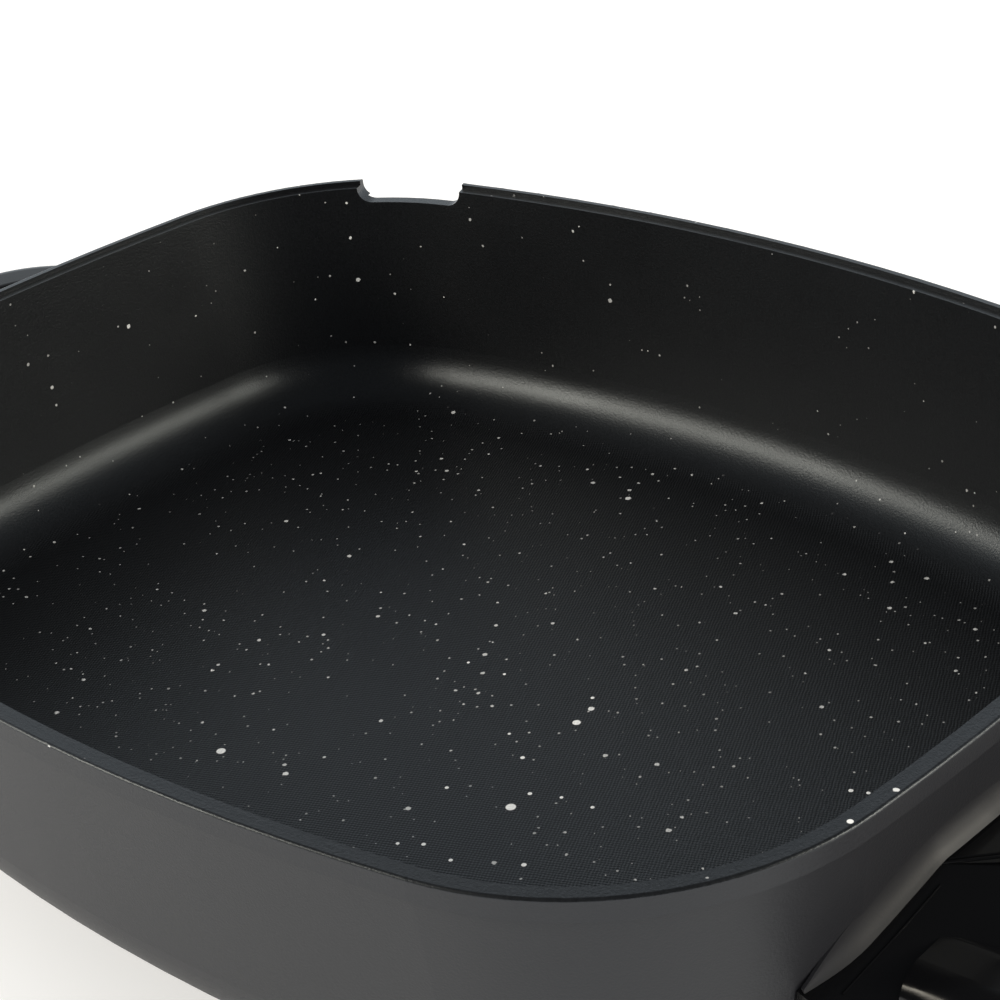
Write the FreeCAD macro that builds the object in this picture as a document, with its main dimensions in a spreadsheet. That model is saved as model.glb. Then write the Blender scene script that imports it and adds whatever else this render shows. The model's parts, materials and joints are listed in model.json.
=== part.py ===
# An electric skillet: a deep cast pan with a non-stick inside, carried at each end by a
# moulded handle and a pair of legs. A temperature control plugs in under the right handle.
# The origin is the middle of the footprint on the table. X runs along the pan, Z is up.
import FreeCAD, Part
import Sketcher
import math
import os

SIZES = {
    # pan
    "rim_height": 118.0, "half_length": 190.0, "half_width": 152.5,
    "end_bow_radius": 730.0, "side_bow_radius": 543.0, "corner_radius": 79.5,
    "pan_depth": 76.0, "floor_thickness": 5.0, "wall_draft": 6.0,
    "rim_width": 5.5, "rim_proud": 1.2, "rim_band": 5.5, "rim_round": 0.8,
    "lid_step_inset": 2.4, "lid_step_depth": 1.4,
    "cove_radius": 20.0, "base_round": 28.0,
    "notch_width": 37.5, "notch_depth": 6.5, "notch_round": 5.0, "notch_turn": 23.5,
    # cast ledge at each end that the handle is screwed to
    "ledge_reach": 200.0, "ledge_half_width": 42.0, "ledge_thickness": 12.0,
    "ledge_root": 150.0, "seat_gap": 0.3,
    # handle moulding
    "handle_drop": 54.0, "handle_half_width": 84.0, "handle_reach": 226.0,
    "handle_top_drop": 26.5, "handle_rise": 4.0, "handle_round": 13.0,
    "facet_start": 186.4, "facet_half_width": 46.5, "facet_turn": 36.0, "facet_fall": 25.0,
    "grip_root": 196.0, "grip_root_drop": 43.6, "grip_tilt": 4.0, "grip_run": 66.0,
    "grip_half_span": 62.0, "grip_corner": 34.0, "grip_width": 24.0,
    "grip_thickness": 20.0, "grip_round": 8.0,
    # leg frame below the handle
    "bridge_reach": 204.0, "bridge_thickness": 8.0, "leg_outer": 76.0, "leg_width": 26.0,
    "leg_foot_inner": 166.0, "leg_foot_outer": 198.0, "leg_reach": 210.0, "leg_round": 6.0,
    "pad_height": 3.0, "pad_radius": 10.0,
    # screws through leg frame and ledge into the handle
    "handle_screw_radius": 2.5, "handle_screw_place": 191.0, "handle_screw_side": 32.0,
    "handle_screw_length": 32.0, "handle_screw_head": 4.5, "handle_screw_head_height": 3.0,
    "screw_clearance": 0.05,
    # heating element, its cast ridge and its pins
    "element_drop": 10.0, "element_radius": 3.5, "element_half_length": 105.0,
    "element_half_width": 80.0, "element_corner": 40.0, "element_turn": 18.0,
    "element_end": 158.0, "ridge_width": 12.0, "ridge_sink": 1.0, "groove_gap": 0.05,
    "pin_spacing": 25.4, "pin_radius": 2.4, "pin_length": 26.0,
    "bead_radius": 4.4, "bead_length": 4.6,
    # probe well and the guard round the socket
    "probe_radius": 3.175, "probe_gap": 0.3, "well_wall": 2.7, "well_length": 62.0,
    "well_blind_end": 3.0, "guard_start": 160.0, "guard_length": 26.0,
    "guard_half_width": 26.0, "guard_wall": 2.0, "guard_below": 11.0, "guard_above": 9.0,
    # temperature control
    "control_start": 188.0, "control_length": 58.0, "control_half_width": 31.0,
    "split_rise": 1.0, "control_shell": 19.0, "control_wall": 2.2,
    "control_corner": 8.0, "control_edge": 4.0, "nose_start": 163.0,
    "nose_half_width": 22.5, "nose_below": 8.2, "nose_above": 6.2,
    "socket_wall": 1.45, "probe_length": 102.0, "probe_tip_round": 1.5, "fit_gap": 0.05,
    "blade_start": 195.0, "blade_length": 41.0, "blade_half_width": 4.0,
    "blade_thickness": 1.4, "blade_post": 5.0, "blade_rise": 10.6,
    "post_radius": 4.0, "post_inset": 9.0,
    "case_screw_radius": 1.5, "case_screw_length": 27.0, "case_screw_head": 3.0,
    "case_screw_head_height": 2.5, "counterbore_depth": 3.0,
    # dial, its shaft and cam
    "dial_gap": 0.5, "dial_radius": 20.0, "dial_skirt": 3.5, "knob_radius": 15.5,
    "knob_height": 11.5, "knob_taper": 6.0, "flute_radius": 3.0, "flute_count": 12,
    "shaft_radius": 3.0, "shaft_start": 224.0, "shaft_seat": 9.5, "cam_radius": 7.0,
    "cam_offset": 2.0, "cam_start": 228.0, "cam_width": 4.0,
    # bushing for a supply cord, and the pilot lamp's lens
    "bush_place": 226.0, "bush_radius": 5.0, "bush_bore": 3.4, "bush_flange": 7.5,
    "bush_flange_thickness": 2.0, "bush_collar": 6.0,
    "lens_place": 214.0, "lens_radius": 4.0, "lens_height": 4.6, "lens_round": 1.4,
}

doc = FreeCAD.newDocument("electric_skillet")
sheet = doc.addObject("Spreadsheet::Sheet", "sizes")
for row, (alias, number) in enumerate(SIZES.items(), start=1):
    sheet.set(f"A{row}", alias)
    sheet.set(f"B{row}", str(number))
    sheet.setAlias(f"B{row}", alias)
doc.recompute()


class Size:
    """A size that carries both its number and the sheet expression that it comes from."""

    def __init__(self, text, value):
        self.text = text
        self.value = float(value)

    def __add__(self, other):
        other = as_size(other)
        return Size(f"({self.text} + {other.text})", self.value + other.value)

    def __sub__(self, other):
        other = as_size(other)
        return Size(f"({self.text} - {other.text})", self.value - other.value)

    def __mul__(self, other):
        other = as_size(other)
        return Size(f"({self.text} * {other.text})", self.value * other.value)

    def __truediv__(self, other):
        other = as_size(other)
        return Size(f"({self.text} / {other.text})", self.value / other.value)

    def __neg__(self):
        return Size(f"(0 - {self.text})", -self.value)


def as_size(thing):
    return thing if isinstance(thing, Size) else Size(str(thing), thing)


def tangent(angle):
    return Size(f"tan({angle.text})", math.tan(math.radians(angle.value)))


class Named:
    """The sheet's sizes by name."""

    def __getattr__(self, alias):
        return Size(f"sizes.{alias}", sheet.get(alias))


s = Named()
ZERO = as_size(0)
parts = {}


def bind(thing, prop, size):
    thing.setExpression(prop, as_size(size).text)


def place(thing, x, y, z):
    for axis, size in zip("xyz", (x, y, z)):
        bind(thing, f"Placement.Base.{axis}", size)


def box(name, x, y, z):
    """A box between the pairs of limits on X, Y and Z."""
    thing = doc.addObject("Part::Box", name)
    for prop, (low, high) in zip(("Length", "Width", "Height"), (x, y, z)):
        bind(thing, prop, as_size(high) - low)
    place(thing, x[0], y[0], z[0])
    return thing


TURNS = {
    "X": FreeCAD.Rotation(FreeCAD.Vector(0, 1, 0), 90),
    "Y": FreeCAD.Rotation(FreeCAD.Vector(1, 0, 0), -90),
    "Z": FreeCAD.Rotation(),
}


def rod(name, axis, start, length, radius):
    """A round bar that runs from its start along one axis."""
    thing = doc.addObject("Part::Cylinder", name)
    thing.Placement = FreeCAD.Placement(FreeCAD.Vector(), TURNS[axis])
    bind(thing, "Radius", radius)
    bind(thing, "Height", length)
    place(thing, *start)
    return thing


def fuse(name, shapes):
    thing = doc.addObject("Part::MultiFuse", name)
    thing.Shapes = shapes
    return thing


def cut(name, base, tool):
    thing = doc.addObject("Part::Cut", name)
    thing.Base = base
    thing.Tool = tool
    return thing


def mirror(name, source, normal):
    thing = doc.addObject("Part::Mirroring", name)
    thing.Source = source
    thing.Normal = normal
    return thing


def keep(name, thing):
    thing.Label = name
    parts[name] = thing
    return thing


def new_body(name):
    return doc.addObject("PartDesign::Body", name)


def origin_part(body, role):
    return [one for one in body.Origin.OriginFeatures if one.Role == role][0]


def sketch_on(body, name, role, level):
    """A sketch on an origin plane of the body, moved along the plane's normal."""
    sketch = body.newObject("Sketcher::SketchObject", name)
    sketch.AttachmentSupport = [(origin_part(body, role), "")]
    sketch.MapMode = "FlatFace"
    bind(sketch, "AttachmentOffset.Base.z", level)
    return sketch


def constrain(sketch, size, *details):
    index = sketch.addConstraint(Sketcher.Constraint(*details, as_size(size).value))
    sketch.setExpression(f"Constraints[{index}]", as_size(size).text)


def fix_point(sketch, edge, end, x, y):
    """Hold one end of an edge at x, y from the sketch's origin."""
    for kind, axis, size in (("DistanceX", -2, as_size(x)), ("DistanceY", -1, as_size(y))):
        if size.value == 0:
            sketch.addConstraint(Sketcher.Constraint("PointOnObject", edge, end, axis))
        elif size.value > 0:
            constrain(sketch, size, kind, -1, 1, edge, end)
        else:
            constrain(sketch, -size, kind, edge, end, -1, 1)


def add_polygon(sketch, points):
    points = [(as_size(x), as_size(y)) for x, y in points]
    first = sketch.GeometryCount
    spots = [FreeCAD.Vector(x.value, y.value, 0) for x, y in points]
    for start, end in zip(spots, spots[1:] + spots[:1]):
        sketch.addGeometry(Part.LineSegment(start, end), False)
    count = len(points)
    for index in range(count):
        following = first + (index + 1) % count
        sketch.addConstraint(Sketcher.Constraint("Coincident", first + index, 2, following, 1))
    for index, (x, y) in enumerate(points):
        fix_point(sketch, first + index, 1, x, y)


def rectangle(low_x, high_x, low_y, high_y):
    return [(low_x, low_y), (high_x, low_y), (high_x, high_y), (low_x, high_y)]


def volume_of(feature):
    doc.recompute()
    return feature.Shape.Volume


def pad(body, sketch, length, backwards=False, taper=None):
    feature = body.newObject("PartDesign::Pad", sketch.Name + "_pad")
    feature.Profile = sketch
    feature.Reversed = backwards
    bind(feature, "Length", length)
    if taper is not None:
        bind(feature, "TaperAngle", taper)
    doc.recompute()
    return feature


def pocket(body, sketch, depth, backwards=False, taper=None):
    before = volume_of(body)
    feature = body.newObject("PartDesign::Pocket", sketch.Name + "_pocket")
    feature.Profile = sketch
    feature.Reversed = backwards
    bind(feature, "Length", depth)
    if taper is not None:
        bind(feature, "TaperAngle", taper)
    if volume_of(body) > before - 1:
        raise RuntimeError(f"{feature.Name} removes nothing")
    return feature


def edges_where(feature, test):
    """Names of the edges whose middle point and bounds pass the test."""
    names = []
    for number, edge in enumerate(feature.Shape.Edges, start=1):
        middle = edge.valueAt((edge.FirstParameter + edge.LastParameter) / 2)
        if test(middle, edge.BoundBox):
            names.append(f"Edge{number}")
    return names


def fillet(body, feature, radius, test):
    names = edges_where(feature, test)
    if not names:
        raise RuntimeError(f"no edge to round on {feature.Name}")
    rounded = body.newObject("PartDesign::Fillet", feature.Name + "_round")
    rounded.Base = (feature, names)
    bind(rounded, "Radius", radius)
    doc.recompute()
    return rounded


NEAR = 0.05


def at_level(level):
    def test(middle, bounds):
        return abs(bounds.ZMin - level) < NEAR and abs(bounds.ZMax - level) < NEAR
    return test


def upright(middle, bounds):
    return bounds.XLength < NEAR and bounds.YLength < NEAR


def corner_centre():
    """Centre of the corner arc that touches an end bow and a side bow from inside."""
    end_centre = s.half_length.value - s.end_bow_radius.value
    side_centre = s.half_width.value - s.side_bow_radius.value
    end_reach = s.end_bow_radius.value - s.corner_radius.value
    side_reach = s.side_bow_radius.value - s.corner_radius.value
    apart = math.hypot(end_centre, side_centre)
    along = (end_reach ** 2 - side_reach ** 2 + apart ** 2) / (2 * apart)
    across = math.sqrt(end_reach ** 2 - along ** 2)
    direction = FreeCAD.Vector(-end_centre / apart, side_centre / apart, 0)
    square = FreeCAD.Vector(-direction.y, direction.x, 0)
    return FreeCAD.Vector(end_centre, 0, 0) + direction * along + square * across


def bowed_outline(body, name, level, inset):
    """The pan's outline at one level: four bowed sides joined by corner arcs."""
    sketch = sketch_on(body, name, "XY_Plane", level)
    end_centre = s.half_length - s.end_bow_radius
    side_centre = s.half_width - s.side_bow_radius
    corner = corner_centre()
    low = math.atan2(corner.y, corner.x - end_centre.value)
    high = math.atan2(corner.y - side_centre.value, corner.x)
    turn = math.pi
    end_radius = s.end_bow_radius - inset
    side_radius = s.side_bow_radius - inset
    corner_radius = s.corner_radius - inset
    pieces = [
        (end_centre.value, 0, end_radius, -low, low),
        (corner.x, corner.y, corner_radius, low, high),
        (0, side_centre.value, side_radius, high, turn - high),
        (-corner.x, corner.y, corner_radius, turn - high, turn - low),
        (-end_centre.value, 0, end_radius, turn - low, turn + low),
        (-corner.x, -corner.y, corner_radius, turn + low, turn + high),
        (0, -side_centre.value, side_radius, turn + high, 2 * turn - high),
        (corner.x, -corner.y, corner_radius, 2 * turn - high, 2 * turn - low),
    ]
    up = FreeCAD.Vector(0, 0, 1)
    for x, y, radius, start, end in pieces:
        circle = Part.Circle(FreeCAD.Vector(x, y, 0), up, radius.value)
        sketch.addGeometry(Part.ArcOfCircle(circle, start, end), False)
    count = len(pieces)
    for index in range(count):
        following = (index + 1) % count
        sketch.addConstraint(Sketcher.Constraint("Tangent", index, 2, following, 1))
    for index, piece in enumerate(pieces):
        constrain(sketch, piece[2], "Radius", index)
    fix_point(sketch, 0, 3, end_centre, 0)
    fix_point(sketch, 4, 3, -end_centre, 0)
    fix_point(sketch, 2, 3, 0, side_centre)
    fix_point(sketch, 6, 3, 0, -side_centre)
    return sketch


floor_level = s.rim_height - s.pan_depth
base_level = floor_level - s.floor_thickness
handle_split = s.rim_height - s.handle_drop
handle_top = s.rim_height - s.handle_top_drop
axis_height = base_level - s.element_drop
control_split = axis_height + s.split_rise


def pan_blank(name, grow):
    """The pan's outside as a solid, with its two end ledges, larger all round by grow."""
    grow = as_size(grow)
    body = new_body(name)
    outline = bowed_outline(body, name + "_wall", s.rim_height, s.rim_proud - grow)
    depth = s.pan_depth + s.floor_thickness + grow
    pad(body, outline, depth, backwards=True, taper=-s.wall_draft)
    ledges = sketch_on(body, name + "_ledges", "XY_Plane", handle_split - grow)
    reach = s.ledge_reach + grow
    side = s.ledge_half_width + grow
    add_polygon(ledges, rectangle(s.ledge_root, reach, -side, side))
    add_polygon(ledges, rectangle(-reach, -s.ledge_root, -side, side))
    pad(body, ledges, s.ledge_thickness + grow * 2)
    return body


def round_base(body, grow):
    """The wide round where the wall turns under the pan, made after any hollow inside it."""
    base = (base_level - grow).value
    return fillet(body, body.Tip, s.base_round + grow, at_level(base))


def rounded_path(points, radii):
    """Straight runs joined by tangent arcs, one radius for each inner point."""
    edges = []
    start = points[0]
    for before, corner, after, radius in zip(points, points[1:], points[2:], radii):
        arriving = (corner - before).normalize()
        leaving = (after - corner).normalize()
        trim = radius * math.tan(arriving.getAngle(leaving) / 2)
        first = corner - arriving * trim
        last = corner + leaving * trim
        inwards = (leaving - arriving * arriving.dot(leaving)).normalize()
        centre = first + inwards * radius
        middle = centre + (corner - centre).normalize() * radius
        edges.append(Part.LineSegment(start, first).toShape())
        edges.append(Part.Arc(first, middle, last).toShape())
        start = last
    edges.append(Part.LineSegment(start, points[-1]).toShape())
    return Part.Wire(edges)


def sweep(name, path, section):
    thing = doc.addObject("Part::Feature", name)
    thing.Shape = path.makePipeShell([section], True, False)
    return thing


# pan: drafted bowl with bowed sides, a proud rim band, a lid step and a pouring notch
pan_body = pan_blank("pan_casting", 0)
band_sketch = bowed_outline(pan_body, "rim_band_outline", s.rim_height, ZERO)
band = pad(pan_body, band_sketch, s.rim_band, backwards=True)
fillet(pan_body, band, s.rim_round, at_level(s.rim_height.value))
cavity_sketch = bowed_outline(pan_body, "cavity_outline", s.rim_height, s.rim_width)
cavity = pocket(pan_body, cavity_sketch, s.pan_depth, taper=-s.wall_draft)
fillet(pan_body, cavity, s.cove_radius, at_level(floor_level.value))
step_sketch = bowed_outline(pan_body, "lid_step", s.rim_height, s.lid_step_inset)
pocket(pan_body, step_sketch, s.lid_step_depth)
round_base(pan_body, 0)

half_notch = s.notch_width.value / 2
deep = -s.notch_depth.value
lift = s.rim_band.value
notch_points = [(-half_notch, lift), (-half_notch, deep), (half_notch, deep), (half_notch, lift)]
notch_back = s.corner_radius.value + s.rim_band.value
notch_wire = rounded_path(
    [FreeCAD.Vector(x, notch_back, z) for x, z in notch_points],
    [s.notch_round.value] * 2)
notch_close = Part.makeLine(notch_wire.Edges[-1].Vertexes[-1].Point,
                            notch_wire.Edges[0].Vertexes[0].Point)
notch_face = Part.Face(Part.Wire(notch_wire.Edges + [notch_close]))
notch = doc.addObject("Part::Feature", "notch_cutter")
notch.Shape = notch_face.extrude(FreeCAD.Vector(0, -4 * s.rim_width.value, 0))
corner_spot = corner_centre()
notch.Placement = FreeCAD.Placement(
    FreeCAD.Vector(-corner_spot.x, corner_spot.y, s.rim_height.value),
    FreeCAD.Rotation(FreeCAD.Vector(0, 0, 1), s.notch_turn.value))

# heating element: one tube bent round under the floor, half sunk in a cast ridge
side = s.pin_spacing.value / 2
near = s.element_half_length.value
wide = s.element_half_width.value
level = axis_height.value
route = [(s.element_end.value, side), (near, side), (near, wide), (-near, wide),
         (-near, -wide), (near, -wide), (near, -side), (s.element_end.value, -side)]
bends = [s.element_turn.value] + [s.element_corner.value] * 4 + [s.element_turn.value]
element_path = rounded_path([FreeCAD.Vector(x, y, level) for x, y in route], bends)
element_start = FreeCAD.Vector(s.element_end.value, side, level)
along_x = FreeCAD.Vector(1, 0, 0)


def ring(radius):
    return Part.Wire(Part.Circle(element_start, along_x, radius).toShape())


element = sweep("element_tube", element_path, ring(s.element_radius.value))
keep("heating_element", element)
groove = sweep("element_groove", element_path,
               ring(s.element_radius.value + s.groove_gap.value))
half_ridge = s.ridge_width.value / 2
ridge_top = base_level.value + s.ridge_sink.value
ridge_corners = [(side - half_ridge, level), (side + half_ridge, level),
                 (side + half_ridge, ridge_top), (side - half_ridge, ridge_top)]
ridge_section = Part.makePolygon(
    [FreeCAD.Vector(s.element_end.value, y, z) for y, z in ridge_corners + ridge_corners[:1]])
ridge = sweep("element_ridge", element_path, ridge_section)

# screw bores through leg frame and ledge into the handle, and the screws themselves
bridge_low = handle_split - s.bridge_thickness
screw_spots = [(x, y) for x in (s.handle_screw_place, -s.handle_screw_place)
               for y in (s.handle_screw_side, -s.handle_screw_side)]
bores = []
screws = []
for index, (x, y) in enumerate(screw_spots):
    bores.append(rod(f"screw_bore_{index}", "Z", (x, y, bridge_low - 1),
                     s.handle_screw_length + 2, s.handle_screw_radius + s.screw_clearance))
    shank = rod(f"screw_shank_{index}", "Z", (x, y, bridge_low),
                s.handle_screw_length, s.handle_screw_radius)
    head = rod(f"screw_head_{index}", "Z", (x, y, bridge_low - s.handle_screw_head_height),
               s.handle_screw_head_height, s.handle_screw_head)
    screws += [shank, head]
screw_bores = fuse("screw_bores", bores)
keep("handle_screws", fuse("handle_screw_group", screws))

pan_solid = fuse("pan_with_ridge", [pan_body, ridge])
pan_cuts = fuse("pan_cuts", [groove, notch, screw_bores])
keep("pan", cut("pan_finished", pan_solid, pan_cuts))
pan_space = pan_blank("pan_space", s.seat_gap)
round_base(pan_space, s.seat_gap)

# handle moulding: a skirt block that hugs the end wall, and a loop to grip
ACROSS = FreeCAD.Vector(1, 0, 0)
ALONG = FreeCAD.Vector(0, 1, 0)
block = new_body("handle_block")
block_side = sketch_on(block, "block_profile", "XZ_Plane", -s.handle_half_width)
slope = tangent(s.handle_rise)
root_top = handle_top - (s.half_length - s.ledge_root) * slope
reach_top = handle_top + (s.handle_reach - s.half_length) * slope
add_polygon(block_side, [(s.ledge_root, handle_split), (s.handle_reach, handle_split),
                         (s.handle_reach, reach_top), (s.ledge_root, root_top)])
block_pad = pad(block, block_side, s.handle_half_width * 2)


def block_shoulders(middle, bounds):
    above = middle.z > handle_split.value + 1
    outer = abs(middle.x - s.handle_reach.value) < NEAR
    flank = abs(abs(middle.y) - s.handle_half_width.value) < NEAR
    return above and (outer or (flank and middle.x > s.ledge_root.value + 1))


fillet(block, block_pad, s.handle_round, block_shoulders)

# two facets fall away from the flat top, one to each flank, from a slanting fold
facet = doc.addObject("Part::Box", "facet_cutter")
bind(facet, "Length", s.handle_half_width * 2)
bind(facet, "Width", s.handle_reach)
bind(facet, "Height", s.handle_half_width)
fold = math.radians(s.facet_turn.value)
fold_line = FreeCAD.Vector(math.cos(fold), math.sin(fold), 0)
fold_top = handle_top + (s.facet_start - s.half_length) * slope
fold_start = FreeCAD.Vector(s.facet_start.value, -s.facet_half_width.value, fold_top.value)
turned = FreeCAD.Rotation(FreeCAD.Vector(0, 0, 1), s.facet_turn.value - 90)
facet.Placement = FreeCAD.Placement(
    fold_start - fold_line * (s.handle_reach.value / 2),
    turned.multiply(FreeCAD.Rotation(ALONG, s.facet_fall.value)))
facets = fuse("facet_cutters", [facet, mirror("facet_mirrored", facet, ALONG)])
block_faceted = cut("block_faceted", block, facets)

grip_points = [FreeCAD.Vector(x, y, 0) for x, y in (
    (0, -s.grip_half_span.value), (s.grip_run.value, -s.grip_half_span.value),
    (s.grip_run.value, s.grip_half_span.value), (0, s.grip_half_span.value))]
grip_path = rounded_path(grip_points, [s.grip_corner.value] * 2)
half_wide = s.grip_width.value / 2
half_thick = s.grip_thickness.value / 2
section_corners = [FreeCAD.Vector(0, y - s.grip_half_span.value, z) for y, z in (
    (0, -half_thick), (half_wide, -half_thick), (half_wide, half_thick),
    (-half_wide, half_thick), (-half_wide, -half_thick), (0, -half_thick))]
grip_section = rounded_path(section_corners, [s.grip_round.value] * 4)
grip = sweep("grip_loop", grip_path, grip_section)
grip.Placement = FreeCAD.Placement(
    FreeCAD.Vector(s.grip_root.value, 0, (s.rim_height - s.grip_root_drop).value),
    FreeCAD.Rotation(FreeCAD.Vector(0, 1, 0), -s.grip_tilt.value))

handle_form = fuse("handle_form", [block_faceted, grip])
handle_seated = cut("handle_seated", handle_form, pan_space)
keep("right_handle", cut("handle_finished", handle_seated, screw_bores))
keep("left_handle", mirror("handle_mirrored", parts["right_handle"], ACROSS))

# leg frame: a bridge under the ledge with a leg at each side
bridge = box("bridge", (s.ledge_root, s.bridge_reach), (-s.leg_outer, s.leg_outer),
             (bridge_low, handle_split))
leg = new_body("leg")
leg_side = sketch_on(leg, "leg_profile", "XZ_Plane", -s.leg_outer)
add_polygon(leg_side, [(s.leg_foot_inner, s.pad_height), (s.leg_foot_outer, s.pad_height),
                       (s.leg_reach, handle_split), (s.ledge_root, handle_split)])
leg_pad = pad(leg, leg_side, s.leg_width)


def leg_corners(middle, bounds):
    flank = bounds.YLength < NEAR
    return flank and bounds.ZLength > (handle_split.value - s.pad_height.value) / 2


fillet(leg, leg_pad, s.leg_round, leg_corners)
other_leg = mirror("other_leg", leg, ALONG)
frame_form = fuse("frame_form", [bridge, leg, other_leg])
frame_seated = cut("frame_seated", frame_form, pan_space)
keep("right_leg_frame", cut("frame_finished", frame_seated, screw_bores))
keep("left_leg_frame", mirror("frame_mirrored", parts["right_leg_frame"], ACROSS))

foot_x = (s.leg_foot_inner + s.leg_foot_outer) / 2
foot_y = s.leg_outer - s.leg_width / 2
for end, x in (("right", foot_x), ("left", -foot_x)):
    for flank, y in (("front", -foot_y), ("back", foot_y)):
        name = f"foot_pad_{flank}_{end}"
        keep(name, rod(name + "_disc", "Z", (x, y, ZERO), s.pad_height, s.pad_radius))

# cold pins, ceramic beads, probe well and the guard round them
pins = []
beads = []
bead_holes = []
for index, y in enumerate((s.pin_spacing / 2, -s.pin_spacing / 2)):
    start = (s.element_end, y, axis_height)
    pins.append(rod(f"pin_{index}", "X", start, s.pin_length, s.pin_radius))
    bead = rod(f"bead_{index}", "X", start, s.bead_length, s.bead_radius)
    hole = rod(f"bead_hole_{index}", "X", start, s.bead_length, s.pin_radius + s.fit_gap)
    beads.append(cut(f"bead_ring_{index}", bead, hole))
    bead_holes.append(rod(f"bead_seat_{index}", "X", start, s.bead_length,
                          s.bead_radius + s.fit_gap))
keep("terminal_pins", fuse("pin_pair", pins))
keep("terminal_beads", fuse("bead_pair", beads))

well_start = s.guard_start - s.well_length
well_radius = s.probe_radius + s.probe_gap + s.well_wall
well_tube = rod("well_tube", "X", (well_start, ZERO, axis_height), s.well_length, well_radius)
well_saddle = box("well_saddle", (well_start, s.guard_start), (-s.well_wall, s.well_wall),
                  (axis_height, base_level))
well_bore = rod("well_bore", "X", (well_start + s.well_blind_end, ZERO, axis_height),
                s.well_length, s.probe_radius + s.probe_gap)
keep("probe_well", cut("well_finished", fuse("well_form", [well_tube, well_saddle]), well_bore))

guard_end = s.guard_start + s.guard_length
guard_low = axis_height - s.guard_below
guard_high = axis_height + s.guard_above
guard_outer = box("guard_outer", (s.guard_start, guard_end),
                  (-s.guard_half_width, s.guard_half_width), (guard_low, guard_high))
inner_side = s.guard_half_width - s.guard_wall
guard_inner = box("guard_inner", (s.guard_start + s.guard_wall, guard_end + 1),
                  (-inner_side, inner_side),
                  (guard_low + s.guard_wall, guard_high - s.guard_wall))
guard_eye = rod("guard_eye", "X", (s.guard_start - 1, ZERO, axis_height),
                s.guard_wall + 2, s.probe_radius + s.probe_gap)
guard_cuts = fuse("guard_cuts", [guard_inner, guard_eye] + bead_holes)
keep("socket_guard", cut("guard_finished", guard_outer, guard_cuts))

# temperature control: two half shells screwed together, with a nose that holds the sockets
control_end = s.control_start + s.control_length
inside = s.control_wall
inner_x = (s.control_start + inside, control_end - inside)
inner_y = s.control_half_width - inside


def half_shell(name, upwards):
    """One half of the case, open at the parting plane."""
    body = new_body(name)
    outline = sketch_on(body, name + "_outline", "XY_Plane", control_split)
    add_polygon(outline, rectangle(s.control_start, control_end,
                                   -s.control_half_width, s.control_half_width))
    pad(body, outline, s.control_shell, backwards=not upwards)
    room = sketch_on(body, name + "_room", "XY_Plane", control_split)
    add_polygon(room, rectangle(inner_x[0], inner_x[1], -inner_y, inner_y))
    solid = pocket(body, room, s.control_shell - inside, backwards=upwards)

    def inner_corner(middle, bounds):
        return upright(middle, bounds) and abs(abs(middle.y) - inner_y.value) < NEAR

    def outer_corner(middle, bounds):
        half_width = s.control_half_width.value
        return upright(middle, bounds) and abs(abs(middle.y) - half_width) < NEAR

    solid = fillet(body, solid, s.control_corner - inside, inner_corner)
    solid = fillet(body, solid, s.control_corner, outer_corner)
    sign = 1 if upwards else -1
    outer_level = control_split.value + sign * s.control_shell.value
    fillet(body, solid, s.control_edge, at_level(outer_level))
    return body


base_shell = half_shell("base_shell", False)
cover_shell = half_shell("cover_shell", True)
nose = box("nose", (s.nose_start, s.control_start), (-s.nose_half_width, s.nose_half_width),
           (axis_height - s.nose_below, axis_height + s.nose_above))
base_bottom = control_split - s.control_shell
post_spots = [(x, y) for x in (s.control_start + s.post_inset, control_end - s.post_inset)
              for y in (s.control_half_width - s.post_inset, s.post_inset - s.control_half_width)]
base_posts = []
cover_posts = []
case_bores = []
case_screws = []
for index, (x, y) in enumerate(post_spots):
    low_post = (x, y, base_bottom + 1)
    base_posts.append(rod(f"base_post_{index}", "Z", low_post,
                          s.control_shell - 1, s.post_radius))
    cover_posts.append(rod(f"cover_post_{index}", "Z", (x, y, control_split),
                           s.control_shell - 1, s.post_radius))
    seat = base_bottom + s.counterbore_depth
    case_bores.append(rod(f"case_bore_{index}", "Z", (x, y, base_bottom - 1),
                          s.counterbore_depth + s.case_screw_length + 2,
                          s.case_screw_radius + s.fit_gap))
    case_bores.append(rod(f"case_counterbore_{index}", "Z", (x, y, base_bottom - 1),
                          s.counterbore_depth + 1, s.case_screw_head + s.fit_gap * 4))
    case_screws.append(rod(f"case_shank_{index}", "Z", (x, y, seat),
                           s.case_screw_length, s.case_screw_radius))
    case_screws.append(rod(f"case_head_{index}", "Z", (x, y, seat - s.case_screw_head_height),
                           s.case_screw_head_height, s.case_screw_head))
keep("control_screws", fuse("case_screw_group", case_screws))

socket_outer = s.pin_radius + s.probe_gap + s.socket_wall
socket_length = s.control_start - s.nose_start
sockets = []
socket_bores = []
for index, y in enumerate((s.pin_spacing / 2, -s.pin_spacing / 2)):
    start = (s.nose_start, y, axis_height)
    tube = rod(f"socket_tube_{index}", "X", start, socket_length, socket_outer)
    hole = rod(f"socket_hole_{index}", "X", start, socket_length, s.pin_radius + s.probe_gap)
    sockets.append(cut(f"socket_{index}", tube, hole))
    socket_bores.append(rod(f"socket_bore_{index}", "X", start, socket_length,
                            socket_outer + s.fit_gap))
keep("contact_sockets", fuse("socket_pair", sockets))

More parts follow.
